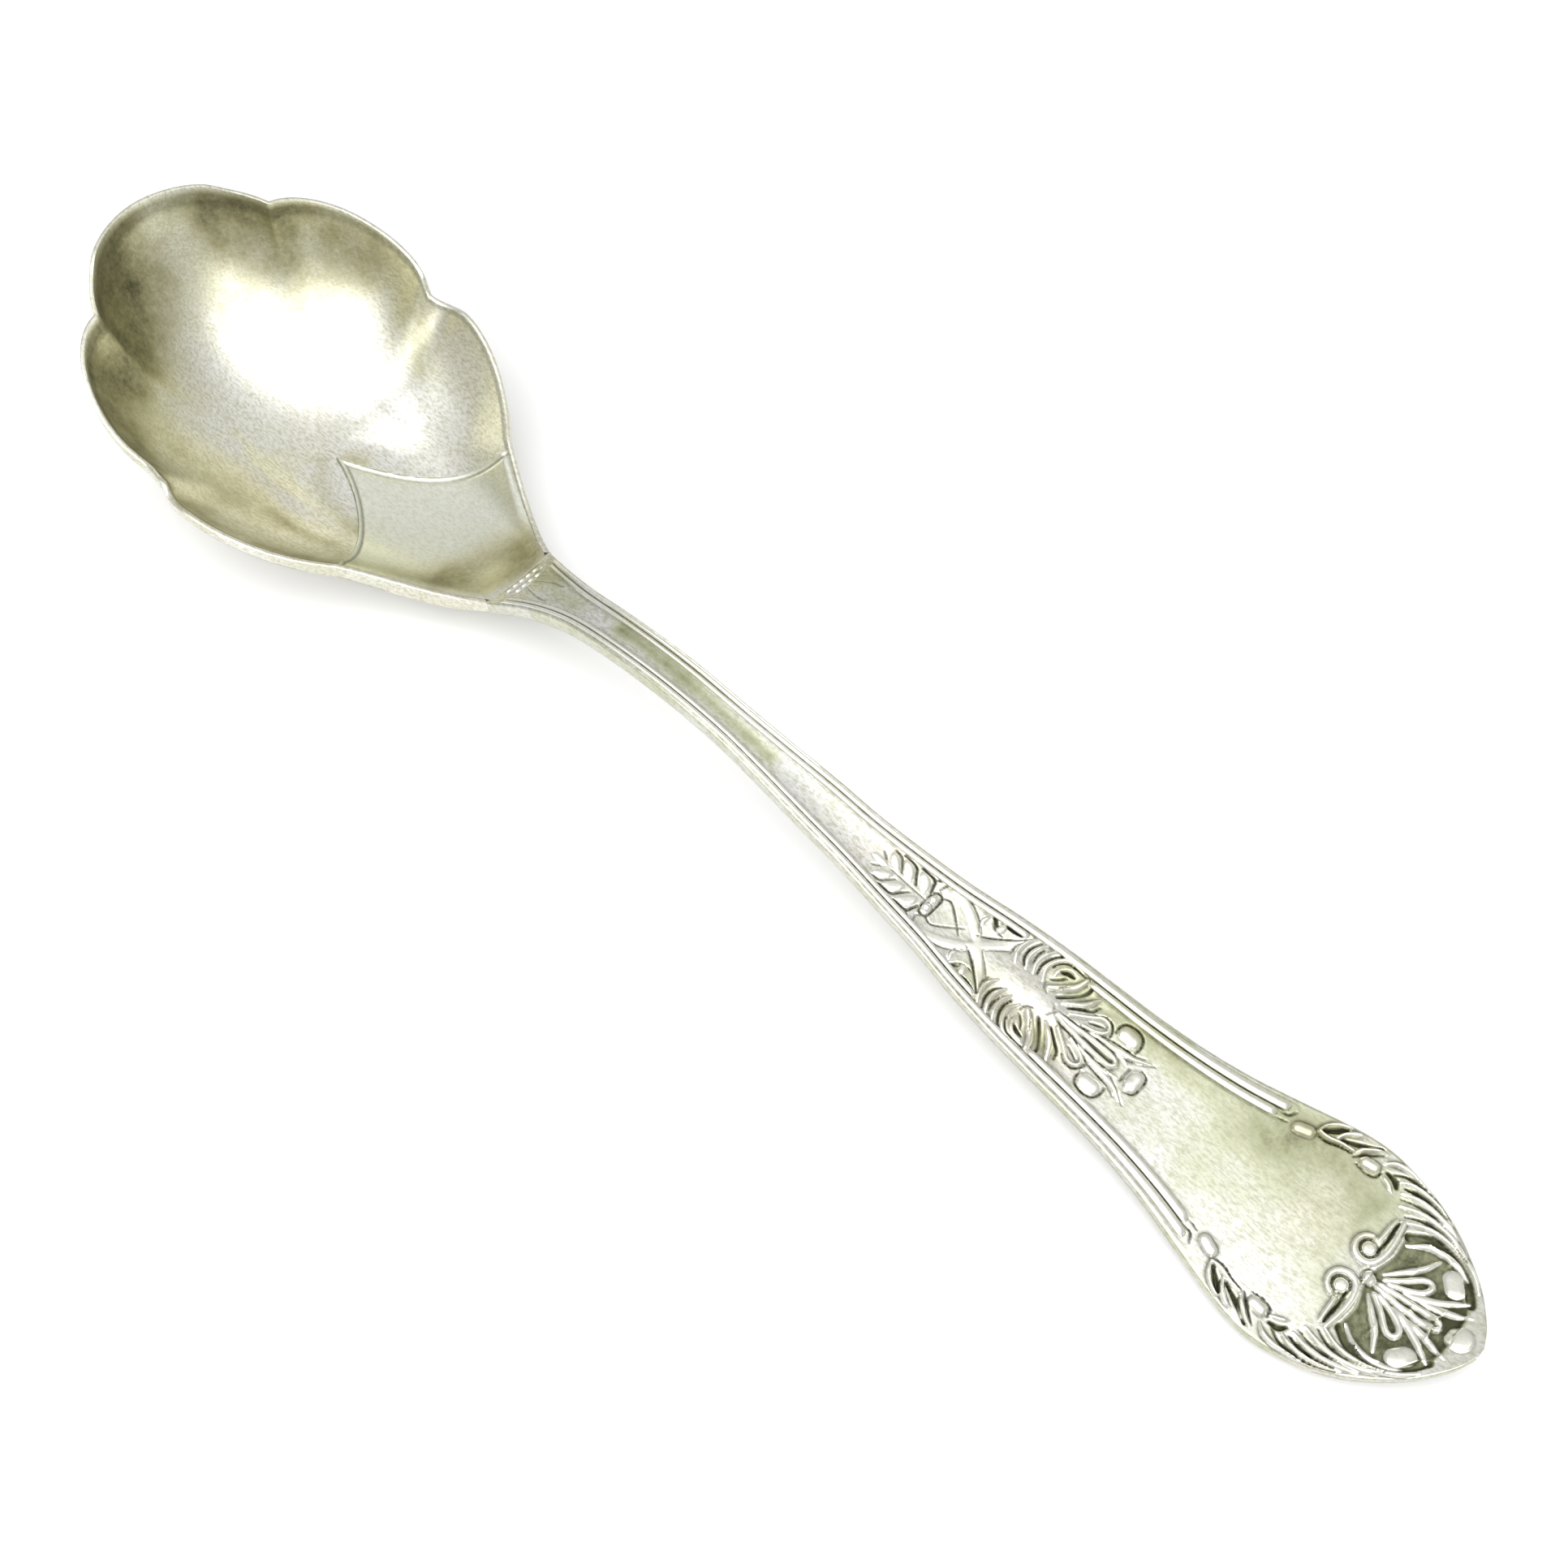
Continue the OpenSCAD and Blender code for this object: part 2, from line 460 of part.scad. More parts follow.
// Lozenge, leaf, bead and long curved leaves along both edges of the terminal.
// Places are shares of their length and of the local half width.
finger_shares = [[[0.115, 0.79], [0.125, 0.86], [0.165, 0.92]], [[0.19, 0.78], [0.205, 0.86], [0.255, 0.935]],
                 [[0.285, 0.77], [0.31, 0.86], [0.36, 0.94]]];
sweep_shares = [[[0.46, 0.8], [0.57, 0.99], [0.76, 0.93]], [[0.54, 0.76], [0.66, 0.91], [0.82, 0.92]],
                [[0.62, 0.62], [0.76, 0.86], [0.93, 0.86]], [[0.68, 0.6], [0.82, 0.74], [0.965, 0.78]]];
module terminal_scrolls() {
    start = bowl_l + edge_from_throat;
    at = function(p) let (u = start + p[0] * edge_l) [u, p[1] * half_w(u)];
    half = blade_w * 0.018;
    color(silver_bright)
        both_sides() {
            leaf(at([0.01, 0.82]), at([0.06, 0.83]), at([0.11, 0.82]), half * 1.7, relief_h * 0.8, 5, 0.4);
            for (f = finger_shares)
                leaf(at(f[0]), at(f[1]), at(f[2]), half, relief_h, 6, 0.35);
            dome(at([0.395, 0.775]), edge_l * 0.045, edge_l * 0.036, relief_h, 8);
            for (f = sweep_shares)
                leaf(at(f[0]), at(f[1]), at(f[2]), half * 0.85, relief_h, 9, 0.3);
        }
}

// Boss, volutes, petals, forked leaves and ovals on the sunk ground.
// Places are shares of the palmette's length and half width, from the boss.
pointed_shares = [[0.1, 0.27], [0.2, 0.5], [0.385, 0.84]];
round_petal_shares = [[0.14, 0.15], [0.27, 0.27], [0.42, 0.46]];
fork_in_shares = [[0.3, 0.11], [0.5, 0.2], [0.72, 0.24]];
fork_out_shares = [[0.5, 0.33], [0.62, 0.36], [0.77, 0.43]];
volute_share = [-0.14, 0.37];
module terminal_palmette() {
    boss = bowl_l + boss_from_throat;
    at = function(p) [boss + p[0] * palmette_l, p[1] * palmette_half_w];
    fine = palmette_half_w * 0.055;
    eye = at(volute_share);
    color(silver_bright) {
        dome(at([0, 0]), boss_d / 2, boss_d / 2, relief_h);
        leaf(at([0.12, 0]), at([0.4, 0]), at([0.7, 0]), fine * 1.6, relief_h, 8, 0.35);
        dome(at([0.92, 0]), palmette_l * 0.08, palmette_half_w * 0.19, relief_h);
        both_sides() {
            dome(eye, boss_d * 0.3, boss_d * 0.3, relief_h);
            arc_ridge(eye, boss_d * 0.6, 15, -285, fine * 0.9, relief_h, 18);
            leaf(at([-0.02, 0.46]), at([0, 0.7]), at([-0.03, 1.04]), fine * 1.2, relief_h, 7, 0.6);
            leaf(at(round_petal_shares[0]), at(round_petal_shares[1]), at(round_petal_shares[2]),
                fine * 1.8, relief_h, 8, 0.3);
            for (p = [pointed_shares, fork_in_shares, fork_out_shares])
                leaf(at(p[0]), at(p[1]), at(p[2]), fine * 0.9, relief_h, 6, 0.3);
            dome(at([0.62, 0.68]), palmette_l * 0.1, palmette_half_w * 0.11, relief_h, -50);
        }
    }
}

bowl();
bowl_tongue();
handle();
neck_beading();
border_threads();
leaf_spray();
scroll_palmette();
terminal_scrolls();
terminal_palmette();
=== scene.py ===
"""Sugar spoon with a lobed shell bowl and a struck handle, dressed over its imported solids.

Lengths are in millimetres until a mesh is made, u counts along the spoon from the bowl's tip and
y across it. Blender's objects are in metres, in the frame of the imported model.
"""

import logging
import math
from collections.abc import Iterator
from dataclasses import dataclass, field
from enum import Enum

import bpy
import numpy as np
from mathutils import Matrix, Vector


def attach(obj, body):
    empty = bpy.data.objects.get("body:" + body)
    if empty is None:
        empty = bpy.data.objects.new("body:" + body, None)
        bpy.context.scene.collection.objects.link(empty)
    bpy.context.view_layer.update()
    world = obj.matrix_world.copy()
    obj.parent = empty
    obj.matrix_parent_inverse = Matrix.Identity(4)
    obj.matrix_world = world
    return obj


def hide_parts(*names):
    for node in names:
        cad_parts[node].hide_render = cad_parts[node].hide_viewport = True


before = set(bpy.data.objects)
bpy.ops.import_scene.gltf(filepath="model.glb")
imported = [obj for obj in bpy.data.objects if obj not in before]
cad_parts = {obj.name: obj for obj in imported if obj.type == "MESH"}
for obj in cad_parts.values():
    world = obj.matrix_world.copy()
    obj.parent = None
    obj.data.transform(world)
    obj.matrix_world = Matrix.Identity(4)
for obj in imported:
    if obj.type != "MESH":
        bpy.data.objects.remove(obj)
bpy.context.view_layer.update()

LOG = logging.getLogger("sugar_spoon")
MM = 0.001
BODY = "root"
# The ornament is drawn from a zero that lies this far behind the bowl's tip
DRAWING_ZERO = 1.1
# Shortest piece of a path, squared, that still has a direction
TINY = 1e-9

Points = tuple[tuple[float, float], ...]
Groove = tuple[Points, float, float]
Colour = tuple[float, float, float]


def smooth(k: np.ndarray) -> np.ndarray:
    """Smooth step of k between 0 and 1."""
    k = np.clip(k, 0.0, 1.0)
    return k * k * (3.0 - 2.0 * k)


def mix(a: np.ndarray, b: np.ndarray, k: np.ndarray) -> np.ndarray:
    """Value between a and b at share k."""
    return a + (b - a) * k


def bell(x: np.ndarray, middle: float, width: float) -> np.ndarray:
    """Bell curve of x round a middle, 1 high."""
    return np.exp(-(((x - middle) / width) ** 2))


def blur_weights(reach: int, radius: float) -> np.ndarray:
    """Shares of a Gaussian blur for the cells from -reach to reach."""
    w = np.exp(-0.5 * (np.arange(-reach, reach + 1) / radius) ** 2)
    return w / w.sum()


def cubic_table(rows: np.ndarray, x: np.ndarray) -> np.ndarray:
    """Smooth value of a table at x.

    Args:
        rows: pairs of place and value, in order of place.
        x: places to read.

    Returns:
        The values, joined by cubics through the rows.
    """
    t = np.asarray(rows, float)
    x = np.asarray(x, float)
    i = np.clip(np.searchsorted(t[:, 0], x, side="right") - 1, 0, len(t) - 2)
    low = np.maximum(np.arange(len(t)) - 1, 0)
    high = np.minimum(np.arange(len(t)) + 1, len(t) - 1)
    slope = (t[high, 1] - t[low, 1]) / (t[high, 0] - t[low, 0])
    d = t[i + 1, 0] - t[i, 0]
    k = np.clip((x - t[i, 0]) / d, 0.0, 1.0)
    return (
        t[i, 1] * (2 * k**3 - 3 * k**2 + 1)
        + slope[i] * d * (k**3 - 2 * k**2 + k)
        + t[i + 1, 1] * (3 * k**2 - 2 * k**3)
        + slope[i + 1] * d * (k**3 - k**2)
    )


def bezier(points: Points, k: np.ndarray) -> np.ndarray:
    """Places on a Bezier curve.

    Args:
        points: the three or four points that steer the curve.
        k: shares of the way along it.

    Returns:
        A place for each share.
    """
    p = np.asarray(points, float)
    k = np.asarray(k, float)[:, None]
    if len(p) == 3:
        return p[0] * (1 - k) ** 2 + p[1] * 2 * k * (1 - k) + p[2] * k**2
    return (
        p[0] * (1 - k) ** 3
        + p[1] * 3 * k * (1 - k) ** 2
        + p[2] * 3 * k**2 * (1 - k)
        + p[3] * k**3
    )


def flowing(points: Points, count: int) -> np.ndarray:
    """A smooth line through all points.

    Args:
        points: places that the line passes through.
        count: number of places to give back.

    Returns:
        An array of count places, evenly spread over the points' own order.
    """
    p = np.asarray(points, float)
    if len(p) == 2:
        k = np.linspace(0.0, 1.0, count)[:, None]
        return p[0] * (1 - k) + p[1] * k
    q = np.vstack([2 * p[0] - p[1], p, 2 * p[-1] - p[-2]])
    t = np.linspace(0.0, len(p) - 1.0, count)
    i = np.minimum(t.astype(int), len(p) - 2)
    k = (t - i)[:, None]
    a, b, c, d = q[i], q[i + 1], q[i + 2], q[i + 3]
    return 0.5 * (
        2 * b
        + (c - a) * k
        + (2 * a - 5 * b + 4 * c - d) * k**2
        + (3 * b - a - 3 * c + d) * k**3
    )


def path_gaps(path: np.ndarray, u: np.ndarray,
              y: np.ndarray) -> Iterator[tuple[np.ndarray, np.ndarray]]:
    """Measures how far places lie from each straight piece of a path.

    Args:
        path: places along the path.
        u: places to measure, along the spoon.
        y: places to measure, across it.

    Yields:
        The distances from one piece, and the share of the whole path at the nearest point.
    """
    count = len(path) - 1
    for k in range(count):
        a, d = path[k], path[k + 1] - path[k]
        t = np.clip(((u - a[0]) * d[0] + (y - a[1]) * d[1]) / max(float(d @ d), TINY), 0, 1)
        yield np.hypot(u - a[0] - t * d[0], y - a[1] - t * d[1]), (k + t) / count


def blurred(values: np.ndarray, radius: float) -> np.ndarray:
    """Gaussian blur of a map.

    Args:
        values: the map.
        radius: the blur's radius in cells.

    Returns:
        The blurred map, of the same size.
    """
    reach = int(math.ceil(radius * 3))
    out = values
    for axis in (0, 1):
        room = [(reach, reach) if a == axis else (0, 0) for a in (0, 1)]
        padded = np.pad(out, room, mode="edge")
        n = out.shape[axis]
        total = np.zeros_like(out)
        for k, share in enumerate(blur_weights(reach, radius)):
            total += share * (padded[k : k + n] if axis == 0 else padded[:, k : k + n])
        out = total
    return out


@dataclass(frozen=True)
class SpoonForm:
    """The spoon's main sizes and the faces that every piece is set against."""

    bowl_l: float = 51.7
    bowl_w: float = 34.6
    tip_rim_h: float = 18.8
    sheet_t: float = 1.15
    rim_land: float = 0.45
    rim_edge_t: float = 0.9
    heel_edge_t: float = 1.6
    worn_flat_d: float = 0.12
    handle_l: float = 101.1
    throat_w: float = 7.9
    stem_w: float = 4.2
    blade_w: float = 19.1
    throat_top_h: float = 6.0
    arch_top_h: float = 10.6
    point_top_h: float = 3.4
    throat_t: float = 2.4
    blade_t: float = 1.55
    channel_d: float = 0.25
    floor_share: float = 0.42
    edge_round: float = 0.28

    @property
    def length(self) -> float:
        """Whole length of the spoon."""
        return self.bowl_l + self.handle_l

    @property
    def floor_u(self) -> float:
        """Place of the bowl's lowest point."""
        return self.floor_share * self.bowl_l

    def along(self, u: np.ndarray) -> np.ndarray:
        """Share of the handle's length at u."""
        return (np.asarray(u, float) - self.bowl_l) / self.handle_l

    def half_w(self, u: np.ndarray) -> np.ndarray:
        """Half width of the handle.

        Args:
            u: places along the spoon.

        Returns:
            The half width at each place.
        """
        a, b, c = self.throat_w / 2, self.stem_w / 2, self.blade_w / 2
        rows = [
            (0, a), (0.038, 0.5 * a + 0.464 * b), (0.075, 1.11 * b), (0.108, 1.02 * b),
            (0.22, 0.99 * b), (0.27, b), (0.316, 1.105 * b), (0.364, 1.248 * b),
            (0.407, 1.343 * b), (0.453, 1.548 * b), (0.498, 1.786 * b),
            (0.543, 0.471 * c), (0.588, 0.529 * c), (0.632, 0.565 * c),
            (0.674, 0.597 * c), (0.717, 0.649 * c), (0.758, 0.731 * c),
            (0.799, 0.848 * c), (0.84, 0.965 * c), (0.862, c), (0.88, 0.995 * c),
            (0.9, 0.951 * c), (0.919, 0.888 * c), (0.938, 0.79 * c), (0.957, 0.65 * c),
            (0.976, 0.471 * c), (0.987, 0.325 * c), (0.995, 0.19 * c), (1, 0.058 * c),
        ]
        return cubic_table(rows, self.along(u))

    def edge_h(self, u: np.ndarray) -> np.ndarray:
        """Height of the handle's upper face along its edges.

        Args:
            u: places along the spoon.

        Returns:
            The height at each place.
        """
        t, a, b, p = self.throat_top_h, self.arch_top_h, self.blade_t, self.point_top_h
        fall = [
            (0.18, 1), (0.22, 0.995), (0.27, 0.934), (0.316, 0.84), (0.364, 0.735),
            (0.407, 0.63), (0.453, 0.53), (0.498, 0.453), (0.543, 0.381),
            (0.588, 0.315), (0.632, 0.246), (0.674, 0.185), (0.717, 0.133),
            (0.758, 0.085), (0.799, 0.044), (0.84, 0.014), (0.88, 0),
        ]
        lift = [(0.9, 0.005), (0.919, 0.07), (0.938, 0.2), (0.957, 0.378),
                (0.976, 0.62), (0.987, 0.784), (1, 1)]
        rise = [(0, 1), (0.038, 0.62), (0.075, 0.337), (0.108, 0.163), (0.14, 0.065)]
        rows = (
            [(s, t * k + a * (1 - k)) for s, k in rise]
            + [(s, a * k + b * (1 - k)) for s, k in fall]
            + [(s, b * (1 - k) + p * k) for s, k in lift]
        )
        return np.maximum(cubic_table(rows, self.along(u)), self.thick(u))

    def thick(self, u: np.ndarray) -> np.ndarray:
        """Thickness of the handle at u."""
        return mix(self.throat_t, self.blade_t, smooth(self.along(u) * 1.25))

    def belly(self, u: np.ndarray, share: np.ndarray) -> np.ndarray:
        """Height of the handle's back over its lowest line, at a share of the half width."""
        share = np.abs(share)
        return self.thick(u) * (0.26 * share**4 + 0.1 * smooth((share - 0.8) / 0.155))

    def face_h(self, u: np.ndarray, y: np.ndarray) -> np.ndarray:
        """Height of the handle's plain upper face at u and y."""
        hollow = self.channel_d * (1 - smooth(self.along(u) * 2.2 - 1))
        return self.edge_h(u) - hollow * (1 - np.minimum((y / self.half_w(u)) ** 2, 1))

    def edge_r(self, u: np.ndarray) -> np.ndarray:
        """Radius of the handle's rounded upper edges at u."""
        return np.minimum(self.edge_round, self.half_w(u) * 0.4)

    def shoulder(self, u: np.ndarray, y: np.ndarray) -> np.ndarray:
        """How far the rounded edge falls below the upper face.

        Args:
            u: places along the spoon.
            y: places across it.

        Returns:
            The fall at each place.
        """
        r = self.edge_r(u)
        s = np.clip((np.abs(y) - self.half_w(u) + r) / r, 0, 1)
        return r * (1 - np.sqrt(1 - s**2))

    def place(self, u: np.ndarray, y: np.ndarray, z: np.ndarray) -> np.ndarray:
        """Points in metres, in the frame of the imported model."""
        u, y, z = np.broadcast_arrays(u, y, z)
        return np.stack([u - self.length / 2, y, z], -1).reshape(-1, 3) * MM


class Section(Enum):
    """Cross-section of a struck line."""

    ROUND = "half round, with steep feet"
    SOFT = "low swell that runs out into the ground"
    FLAT = "flat top with rounded shoulders"

    def height(self, q: np.ndarray) -> np.ndarray:
        """Height of the section.

        Args:
            q: shares of the half width, from the middle.

        Returns:
            The share of the line's height at each.
        """
        q = np.clip(q, 0.0, 1.0)
        if self is Section.ROUND:
            return np.sqrt(1.0 - q**2) * smooth((1.0 - q) * 6.0)
        if self is Section.SOFT:
            return (1.0 - q**2) ** 2
        return 1.0 - q**6


@dataclass(frozen=True)
class Stroke:
    """A struck line, leaf or pocket that follows a path.

    Half widths and heights are read evenly along the path.
    """

    points: Points
    half: tuple[float, ...]
    height: tuple[float, ...]
    section: Section = Section.ROUND
    mirrored: bool = True
    steps: int = 18


def leaf(points: Points, half: float, height: float, section: Section = Section.ROUND,
         mirrored: bool = True) -> Stroke:
    """A stroke that swells between fine ends."""
    return Stroke(points, (0.35 * half, 0.85 * half, half, 0.85 * half, 0.3 * half),
                  (0.5 * height, height, height, height, 0.4 * height), section, mirrored)


def cord(points: Points, half: float, height: float, section: Section = Section.ROUND,
         mirrored: bool = True) -> Stroke:
    """A stroke of one width."""
    return Stroke(points, (0.8 * half, half, half, 0.8 * half), (height,), section, mirrored)


def knob(u: float, y: float, reach: float, half: float, height: float, turn: float = 0.0,
         mirrored: bool = True, section: Section = Section.ROUND) -> Stroke:
    """An oval knob.

    Args:
        u: place along the spoon.
        y: place across it.
        reach: half length of the oval.
        half: half width of the oval.
        height: height of the knob.
        turn: direction of the oval's length, in degrees from +u.
        mirrored: whether the other side has one too.
        section: the knob's cross-section.

    Returns:
        A short stroke that makes the oval.
    """
    d = max(reach - half, 0.02)
    c, s = math.cos(math.radians(turn)) * d, math.sin(math.radians(turn)) * d
    return Stroke(((u - c, y - s), (u + c, y + s)), (half,), (height,), section, mirrored, 3)


def grooves(lines: tuple[Groove, ...], ends: float, middle: float = 1.0) -> list[Stroke]:
    """Soft grooves on both sides that narrow towards their ends.

    Args:
        lines: path, half width and depth of each groove.
        ends: share of the half width at a groove's ends.
        middle: share of the half width between them.

    Returns:
        A stroke for each groove.
    """
    return [Stroke(points, (ends * half, middle * half, middle * half, ends * half), (depth,),
                   Section.SOFT) for points, half, depth in lines]


@dataclass(frozen=True)
class TarnishAndShadeMark:
    """A soft darker patch along a path, in the spoon's own places; the lists of these patches mix
    tarnish with painted shade and reflection.
    """

    points: Points
    half: float
    level: float

    def at(self, u: np.ndarray, y: np.ndarray) -> np.ndarray:
        """Strength of the patch at u and y."""
        near = np.minimum.reduce([gap for gap, _ in path_gaps(flowing(self.points, 9), u, y)])
        return self.level * bell(near, 0.0, self.half)


def tarnish_and_shade_at(marks: tuple[TarnishAndShadeMark, ...], u: np.ndarray, y: np.ndarray) -> np.ndarray:
    """Strength of several patches together.

    Args:
        marks: the patches.
        u: places along the spoon.
        y: places across it.

    Returns:
        The strength at each place, from 0 to 1.
    """
    clear = np.ones(np.broadcast(u, y).shape)
    for mark in marks:
        clear = clear * (1 - mark.at(u, y))
    return 1 - clear


@dataclass(frozen=True)
class HollowWidth:
    """How far the hollows of one width darken."""

    radius: float
    depth: float
    clean: float
    share: float

    def dark(self, top: np.ndarray, cell: float) -> np.ndarray:
        """Darkness of a face that lies lower than what is round it.

        Args:
            top: heights of the face.
            cell: size of the map's cells.

        Returns:
            A map of values from 0 to the width's share.
        """
        drop = blurred(top, self.radius / cell) - top
        return np.clip(drop / self.depth - self.clean, 0, 1) * self.share


@dataclass
class ReliefMap:
    """Heights of the handle's struck face on an even grid over u and y."""

    form: SpoonForm
    cell: float = 0.08
    u_low: float = 50.6
    u_high: float = 152.9
    y_reach: float = 9.76
    edge_margin: float = 0.16
    edge_fade: float = 0.14
    sunk_blur: float = 0.16
    struck_blur_cells: float = 0.8
    hollows: tuple[HollowWidth, ...] = (
        HollowWidth(0.17, 0.07, 0.12, 0.8), HollowWidth(0.5, 0.2, 0.1, 0.3))
    neck_kept: float = 0.55
    neck_end: float = 80.0
    neck_fade: float = 26.0
    us: np.ndarray = field(init=False)
    ys: np.ndarray = field(init=False)
    ground: np.ndarray = field(init=False)
    raised: dict[str, np.ndarray] = field(init=False)
    sunk: np.ndarray = field(init=False)
    swell: np.ndarray = field(init=False)
    recess: np.ndarray = field(init=False)

    def __post_init__(self) -> None:
        """Lays out the grid."""
        self.us = np.arange(self.u_low, self.u_high, self.cell)
        half = int(self.y_reach / self.cell)
        self.ys = np.arange(-half, half + 1) * self.cell
        self.ground = np.zeros((len(self.us), len(self.ys)))
        self.raised = {}
        self.sunk = np.zeros_like(self.ground)
        self.swell = np.zeros_like(self.ground)
        self.recess = np.zeros_like(self.ground)

    def settle(self) -> None:
        """Keeps the ground's depth, lifts it over the soft swells and darkens the hollows."""
        self.sunk = blurred(-self.ground, self.sunk_blur / self.cell)
        self.ground = self.ground + self.swell
        self.recess = self._darkened()

    def stamp(self, target: np.ndarray, stroke: Stroke) -> None:
        """Sets a stroke into a map, where it stands higher than what is there.

        Args:
            target: the map, which is changed.
            stroke: the stroke, drawn from the drawing's zero.
        """
        path = flowing(stroke.points, stroke.steps) + [DRAWING_ZERO, 0.0]
        for side in (1.0, -1.0) if stroke.mirrored else (1.0,):
            self._stamp_path(target, path * [1.0, side], stroke)

    def _stamp_path(self, target: np.ndarray, path: np.ndarray, stroke: Stroke) -> None:
        """Sets one path's heights into a map.

        Args:
            target: the map, which is changed.
            path: places along the path.
            stroke: the widths, heights and section to use.
        """
        reach = max(stroke.half)
        i0, i1 = np.searchsorted(self.us, [path[:, 0].min() - reach, path[:, 0].max() + reach])
        j0, j1 = np.searchsorted(self.ys, [path[:, 1].min() - reach, path[:, 1].max() + reach])
        if i1 <= i0 or j1 <= j0:
            return
        u, y = np.meshgrid(self.us[i0:i1], self.ys[j0:j1], indexing="ij")
        spread = np.linspace(0.0, 1.0, len(stroke.half))
        lifts = np.linspace(0.0, 1.0, len(stroke.height))
        window = target[i0:i1, j0:j1]
        for gap, s in path_gaps(path, u, y):
            half = np.interp(s, spread, stroke.half)
            lift = np.interp(s, lifts, stroke.height)
            np.maximum(window, lift * stroke.section.height(gap / half), out=window)

    def press(self, pockets: list[Stroke]) -> None:
        """Sinks pockets and grooves into the ground.

        Args:
            pockets: the strokes, whose heights are depths here.
        """
        depth = np.zeros_like(self.ground)
        for stroke in pockets:
            self.stamp(depth, stroke)
        self.ground = np.minimum(self.ground, -depth)

    def lift(self, swells: list[Stroke]) -> None:
        """Raises soft swells of the ground."""
        for stroke in swells:
            self.stamp(self.swell, stroke)

    def strike(self, name: str, strokes: list[Stroke]) -> None:
        """Adds the raised strokes of one piece, held inside the handle's edges.

        Args:
            name: the piece that the strokes belong to.
            strokes: the strokes.
        """
        heights = self.raised.setdefault(name, np.zeros_like(self.ground))
        for stroke in strokes:
            self.stamp(heights, stroke)
        room = self.form.half_w(self.us)[:, None] - self.edge_margin - np.abs(self.ys)
        heights *= smooth(room / self.edge_fade)
        self.raised[name] = blurred(heights, self.struck_blur_cells)

    def sample(self, values: np.ndarray, u: np.ndarray, y: np.ndarray) -> np.ndarray:
        """Values of a map between its cells.

        Args:
            values: the map.
            u: places along the spoon.
            y: places across it.

        Returns:
            The value at each place.
        """
        a = np.clip((u - self.us[0]) / self.cell, 0, len(self.us) - 1.001)
        b = np.clip((y - self.ys[0]) / self.cell, 0, len(self.ys) - 1.001)
        i, j = a.astype(int), b.astype(int)
        p, q = a - i, b - j
        return (
            values[i, j] * (1 - p) * (1 - q)
            + values[i + 1, j] * p * (1 - q)
            + values[i, j + 1] * (1 - p) * q
            + values[i + 1, j + 1] * p * q
        )

    def _darkened(self) -> np.ndarray:
        """How dark each place is in its hollow, where the neck is rubbed cleaner.

        Returns:
            A map of values from 0 to 1.
        """
        top = self.ground + np.maximum.reduce(list(self.raised.values()))
        dark = sum(width.dark(top, self.cell) for width in self.hollows)
        kept = mix(self.neck_kept, 1.0, smooth((self.us - self.neck_end) / self.neck_fade))
        return np.clip(dark, 0, 1) * kept[:, None]


@dataclass
class MeshPiece:
    """A mesh with named values at its points, ready to become an object."""

    name: str
    points: np.ndarray
    faces: list[np.ndarray]
    values: dict[str, np.ndarray] = field(default_factory=dict)
    sharp_angle: float = 62.0

    def build(self) -> bpy.types.Object:
        """Makes the Blender object.

        Returns:
            The object, linked to the scene.
        """
        mesh = bpy.data.meshes.new(self.name)
        corners = np.concatenate([f.reshape(-1) for f in self.faces]).astype(np.int32)
        sizes = np.concatenate([np.full(len(f), f.shape[1]) for f in self.faces]).astype(np.int32)
        starts = np.concatenate([[0], np.cumsum(sizes)[:-1]]).astype(np.int32)
        mesh.vertices.add(len(self.points))
        mesh.vertices.foreach_set("co", self.points.astype(np.float32).ravel())
        mesh.loops.add(len(corners))
        mesh.loops.foreach_set("vertex_index", corners)
        mesh.polygons.add(len(sizes))
        mesh.polygons.foreach_set("loop_start", starts)
        mesh.polygons.foreach_set("loop_total", sizes)
        mesh.update(calc_edges=True)
        mesh.validate()
        mesh.polygons.foreach_set("use_smooth", np.ones(len(mesh.polygons), bool))
        for key, value in self.values.items():
            layer = mesh.attributes.new(key, "FLOAT", "POINT")
            layer.data.foreach_set("value", np.asarray(value, np.float32).ravel())
        mesh.set_sharp_from_angle(angle=math.radians(self.sharp_angle))
        obj = bpy.data.objects.new(self.name, mesh)
        bpy.context.scene.collection.objects.link(obj)
        return obj


def grid_faces(rows: int, columns: int, first: int = 0, closed: bool = False,
               flipped: bool = False) -> np.ndarray:
    """Quads of a grid of points.

    Args:
        rows: number of rows.
        columns: number of points in a row.
        first: index of the grid's first point.
        closed: whether each row's last point joins its first.
        flipped: whether the quads face the other way.

    Returns:
        An array of four indices for each quad.
    """
    r = np.arange(rows - 1)[:, None]
    c = np.arange(columns if closed else columns - 1)[None, :]
    d = (c + 1) % columns
    quads = np.stack([r * columns + c, (r + 1) * columns + c, (r + 1) * columns + d,
                      r * columns + d], -1).reshape(-1, 4) + first
    return quads[:, ::-1] if flipped else quads


def ring_cap(ring: np.ndarray, centre: int, flipped: bool) -> np.ndarray:
    """Triangles from a closed ring of points to a centre."""
    fan = np.stack([ring, np.roll(ring, -1), np.full(len(ring), centre)], -1)
    return fan[:, ::-1] if flipped else fan


